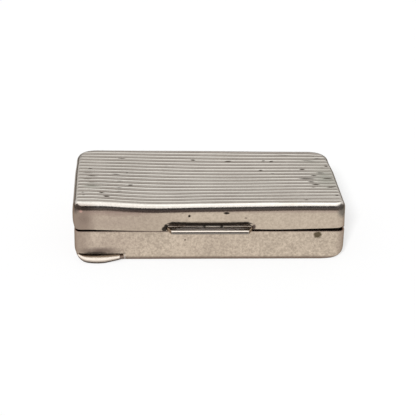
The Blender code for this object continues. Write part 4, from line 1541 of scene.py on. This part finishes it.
@dataclass
class Studio:
    """The floor, the light and the camera of the photograph."""

    softbox_height: float = 0.55
    softbox_size: tuple[float, float] = (1.30, 0.75)
    softbox_middle: tuple[float, float] = (-0.38, -0.04)
    softbox_glow: float = 0.55
    softbox_colour: Colour = (1.0, 0.985, 0.96)
    room_glow: float = 0.43
    floor_size: float = 6.0
    floor_height: float = -0.02 * MM
    front_glow: float = 0.59
    front_way: tuple[float, float] = (0.48, 1.6)
    front_width: float = 9.0
    paper: float = 0.86
    floor_share: float = 0.33
    floor_glow: float = 1.03
    card_middle: tuple[float, float] = (-0.021, 0.0165)
    card_radius: float = 0.08
    card_half: float = 0.054
    card_elevations: tuple[float, float] = (-13.0, 62.0)
    card_glows: tuple[float, float] = (0.15, 0.055)
    wing_glow: float = 0.18
    card_climb: tuple[float, float] = (0.050, 0.072)
    card_sight: tuple[float, float] = (0.093, 0.100)
    card_fade: float = 6 * MM
    card_colour: Colour = (0.97, 0.89, 0.89)
    card_front: float = 10.0
    card_end: float = 105.0
    card_columns: int = 21
    card_rows: int = 33
    horizon_radius: float = 0.13
    horizon_height: float = 0.042
    horizon_glow: float = 0.22
    horizon_foot: float = 0.5 * MM
    horizon_fade: float = 0.6
    horizon_colour: Colour = (1.0, 0.97, 0.92)
    horizon_turns: tuple[float, float] = (-20.0, 200.0)
    horizon_columns: int = 89
    eye: tuple[float, float, float] = (-24.1145 * MM, -362.0726 * MM, 177.5817 * MM)
    pitch: float = 0.43939
    yaw: float = 0.06862
    roll: float = 0.0284
    lens: float = 112.734

    @staticmethod
    def seen(nodes: Nodes) -> Socket:
        """Is 1 for rays from the camera and for those that metal or glass sends on, otherwise 0."""
        path = nodes.add("ShaderNodeLightPath", {}).outputs
        mirrored = nodes.math("MAXIMUM", path["Is Glossy Ray"], path["Is Transmission Ray"])
        return nodes.math("MAXIMUM", path["Is Camera Ray"], mirrored)

    def world(self) -> None:
        """Makes a white room that lights the box softly."""
        world = bpy.data.worlds.new("white_room")
        world.use_nodes = True
        world.node_tree.nodes.clear()
        nodes = Nodes(world.node_tree)
        strength = nodes.math("MULTIPLY_ADD", self.seen(nodes), 1.0 - self.room_glow, self.room_glow)
        back = nodes.add("ShaderNodeBackground", {"Color": (1.0, 1.0, 1.0, 1.0), "Strength": strength})
        nodes.add("ShaderNodeOutputWorld", {"Surface": back.outputs[0]})
        bpy.context.scene.world = world

    def floor(self) -> None:
        """Makes the pale floor, which keeps a faint shadow and is clear as seen from below."""
        surface = Surface("pale_floor")
        grey = (self.paper, self.paper, self.paper, 1.0)
        paper = surface.add("ShaderNodeBsdfDiffuse", {"Color": grey}).outputs[0]
        glow = {"Color": (1.0, 1.0, 1.0, 1.0), "Strength": self.floor_glow}
        white = surface.add("ShaderNodeEmission", glow).outputs[0]
        share = surface.times(self.seen(surface), 1.0 - self.floor_share)
        mixed = surface.add("ShaderNodeMixShader", {0: share, 1: paper, 2: white}).outputs[0]
        below = surface.add("ShaderNodeNewGeometry", {}).outputs["Backfacing"]
        clear = surface.add("ShaderNodeBsdfTransparent", {}).outputs[0]
        one_sided = surface.add("ShaderNodeMixShader", {0: below, 1: mixed, 2: clear}).outputs[0]
        surface.add("ShaderNodeOutputMaterial", {"Surface": one_sided})
        half = self.floor_size / 2
        plan = ((-half, -half), (half, -half), (half, half), (-half, half))
        draft = Draft()
        corners = draft.add([(x, y, self.floor_height) for x, y in plan])
        draft.cap(corners, True)
        draft.piece("studio_floor", surface.material)

    def softbox(self) -> None:
        """Hangs the large soft lamp over the box, for the silver to mirror."""
        lamp = bpy.data.lights.new("softbox", "AREA")
        lamp.shape = "RECTANGLE"
        lamp.size, lamp.size_y = self.softbox_size
        lamp.energy = self.softbox_glow * pi * lamp.size * lamp.size_y
        lamp.color = self.softbox_colour
        hung = bpy.data.objects.new("softbox", lamp)
        hung.location = (*self.softbox_middle, self.softbox_height)
        hung.visible_camera = False
        hung.visible_diffuse = False
        bpy.context.scene.collection.objects.link(hung)

    def front_lamp(self) -> None:
        """Adds the lamp at the front left, whose faint shadow the floor shows."""
        way = Vector((*self.front_way, -1.0))
        lamp = bpy.data.lights.new("front_lamp", "SUN")
        lamp.energy = self.front_glow * pi / self.paper * way.length
        lamp.angle = radians(self.front_width)
        made = bpy.data.objects.new("front_lamp", lamp)
        made.rotation_euler = way.to_track_quat("-Z", "Y").to_euler()
        made.visible_glossy = False
        bpy.context.scene.collection.objects.link(made)

    @staticmethod
    def dark_glow(name: str, colour: Colour, glows: tuple[float, float], climb: tuple[float, float],
                  fade: tuple[float, float], sight: tuple[float, float]) -> bpy.types.Material:
        """Makes a dark card's material, which is clear below one height and from afar.

        Args:
            name: The material's name.
            colour: The card's colour.
            glows: How brightly its lower and its upper part glow.
            climb: The heights between which one part turns into the other.
            fade: The height where it is clear, and the one where it is whole.
            sight: The distance up to which it shows whole, and the one from which it is clear.

        Returns:
            The material.
        """
        surface = Surface(name)
        height = surface.add("ShaderNodeSeparateXYZ", {0: surface.place}).outputs["Z"]
        way = surface.add("ShaderNodeLightPath", {}).outputs["Ray Length"]
        shown = surface.times(surface.rise(height, *fade), surface.rise(way, sight[1], sight[0]))
        strength = surface.rise(height, *climb, *glows)
        glow = surface.add("ShaderNodeEmission", {"Color": (*colour, 1.0), "Strength": strength}).outputs[0]
        clear = surface.add("ShaderNodeBsdfTransparent", {}).outputs[0]
        mixed = surface.add("ShaderNodeMixShader", {0: shown, 1: clear, 2: glow}).outputs[0]
        surface.add("ShaderNodeOutputMaterial", {"Surface": mixed})
        return surface.material

    @staticmethod
    def hang(card: bpy.types.Object) -> None:
        """Stages a card that only reflections show."""
        for ray in ("camera", "diffuse", "transmission", "shadow", "volume_scatter"):
            setattr(card, f"visible_{ray}", False)

    def dark_card(self) -> None:
        """Stands the dark cards on the camera's side, curved round the lid's front edge and corners."""
        foot = self.card_middle[1] + self.card_radius * sin(radians(self.card_elevations[0]))
        fade = (foot, foot + self.card_fade)
        wings = (self.wing_glow, self.wing_glow)
        front, wing = [self.dark_glow(name, self.card_colour, glows, self.card_climb, fade, self.card_sight)
                       for name, glows in (("dark_card", self.card_glows), ("side_card", wings))]
        self.drape("dark_card", (-self.card_front, self.card_front), front)
        self.drape("left_card", (-self.card_end, -self.card_front), wing)
        self.drape("right_card", (self.card_front, self.card_end), wing)

    def drape(self, name: str, turns: tuple[float, float], material: bpy.types.Material) -> None:
        """Stands one card round the lid's front edge or a front corner.

        Args:
            name: The card's name.
            turns: Where it starts and ends round the upright axis, in degrees right of the front.
            material: Its material.
        """
        middle_y, middle_z = self.card_middle
        plan = []
        for turn in np.radians(np.linspace(*turns, self.card_columns)):
            plan.append((self.card_half * (1 if turn > 0 else -1), sin(turn), cos(turn)))
        rows = []
        for rise in np.radians(np.linspace(*self.card_elevations, self.card_rows)):
            reach = self.card_radius * cos(rise)
            height = middle_z + self.card_radius * sin(rise)
            rows.append([(x + reach * out_x, middle_y - reach * out_y, height) for x, out_x, out_y in plan])
        draft = Draft()
        draft.grid(draft.add(np.array(rows)).reshape(self.card_rows, len(plan)), True)
        self.hang(draft.piece(name, material))

    def horizon(self) -> None:
        """Stands a low grey band behind the box and at its sides, as the room's far walls."""
        draft = Draft()
        turns = np.radians(np.linspace(*self.horizon_turns, self.horizon_columns))
        rows = [[(self.horizon_radius * cos(turn), self.horizon_radius * sin(turn), height) for turn in turns]
                for height in (self.horizon_foot, self.horizon_height)]
        draft.grid(draft.add(np.array(rows)).reshape(2, self.horizon_columns), True)
        glows = (self.horizon_glow, self.horizon_glow)
        fade = (self.horizon_height, self.horizon_fade * self.horizon_height)
        material = self.dark_glow("grey_horizon", self.horizon_colour, glows, (0.0, 1.0), fade, (1.0, 2.0))
        self.hang(draft.piece("grey_horizon", material))

    def camera(self) -> None:
        """Sets up the photograph's camera."""
        data = bpy.data.cameras.new("camera")
        data.sensor_fit = "HORIZONTAL"
        data.sensor_width = 36.0
        data.lens = self.lens
        data.clip_start = 0.01
        made = bpy.data.objects.new("camera", data)
        ahead = Vector((sin(self.yaw) * cos(self.pitch), cos(self.yaw) * cos(self.pitch), -sin(self.pitch)))
        right = Vector((cos(self.yaw), -sin(self.yaw), 0.0))
        up = right.cross(ahead)
        x_axis = right * cos(self.roll) + up * sin(self.roll)
        y_axis = up * cos(self.roll) - right * sin(self.roll)
        turn = Matrix((x_axis, y_axis, -ahead)).transposed().to_4x4()
        made.matrix_world = Matrix.Translation(self.eye) @ turn
        bpy.context.scene.collection.objects.link(made)
        bpy.context.scene.camera = made

    def build(self) -> None:
        """Sets up the whole studio."""
        bpy.context.scene.view_settings.view_transform = "Standard"
        self.world()
        self.floor()
        self.softbox()
        self.front_lamp()
        self.dark_card()
        self.horizon()
        self.camera()


def report(piece: bpy.types.Object) -> None:
    """Logs a piece's name, size and triangles."""
    piece.data.calc_loop_triangles()
    size = " x ".join(f"{length / MM:.1f}" for length in piece.dimensions)
    log.info("%s: %s mm, %d triangles", piece.name, size, len(piece.data.loop_triangles))


def main() -> None:
    """Builds the box piece by piece, and then the studio round it."""
    logging.basicConfig(level=logging.INFO, format="%(name)s %(message)s")
    plan = Plan()
    hinge = HingeLine()
    report(Lid(plan, Reeding(), hinge, LID_SILVER).build())
    for piece in Base(plan, hinge, WALL_SILVER).build():
        report(piece)
    report(Thumbpiece(BRIGHT_SILVER).build())
    report(Lip(BRIGHT_SILVER).build())
    for node in Fittings(INNER_SILVER, HINGE_SILVER).dress():
        report(node)
    Studio().build()


if __name__ == "__main__":
    main()
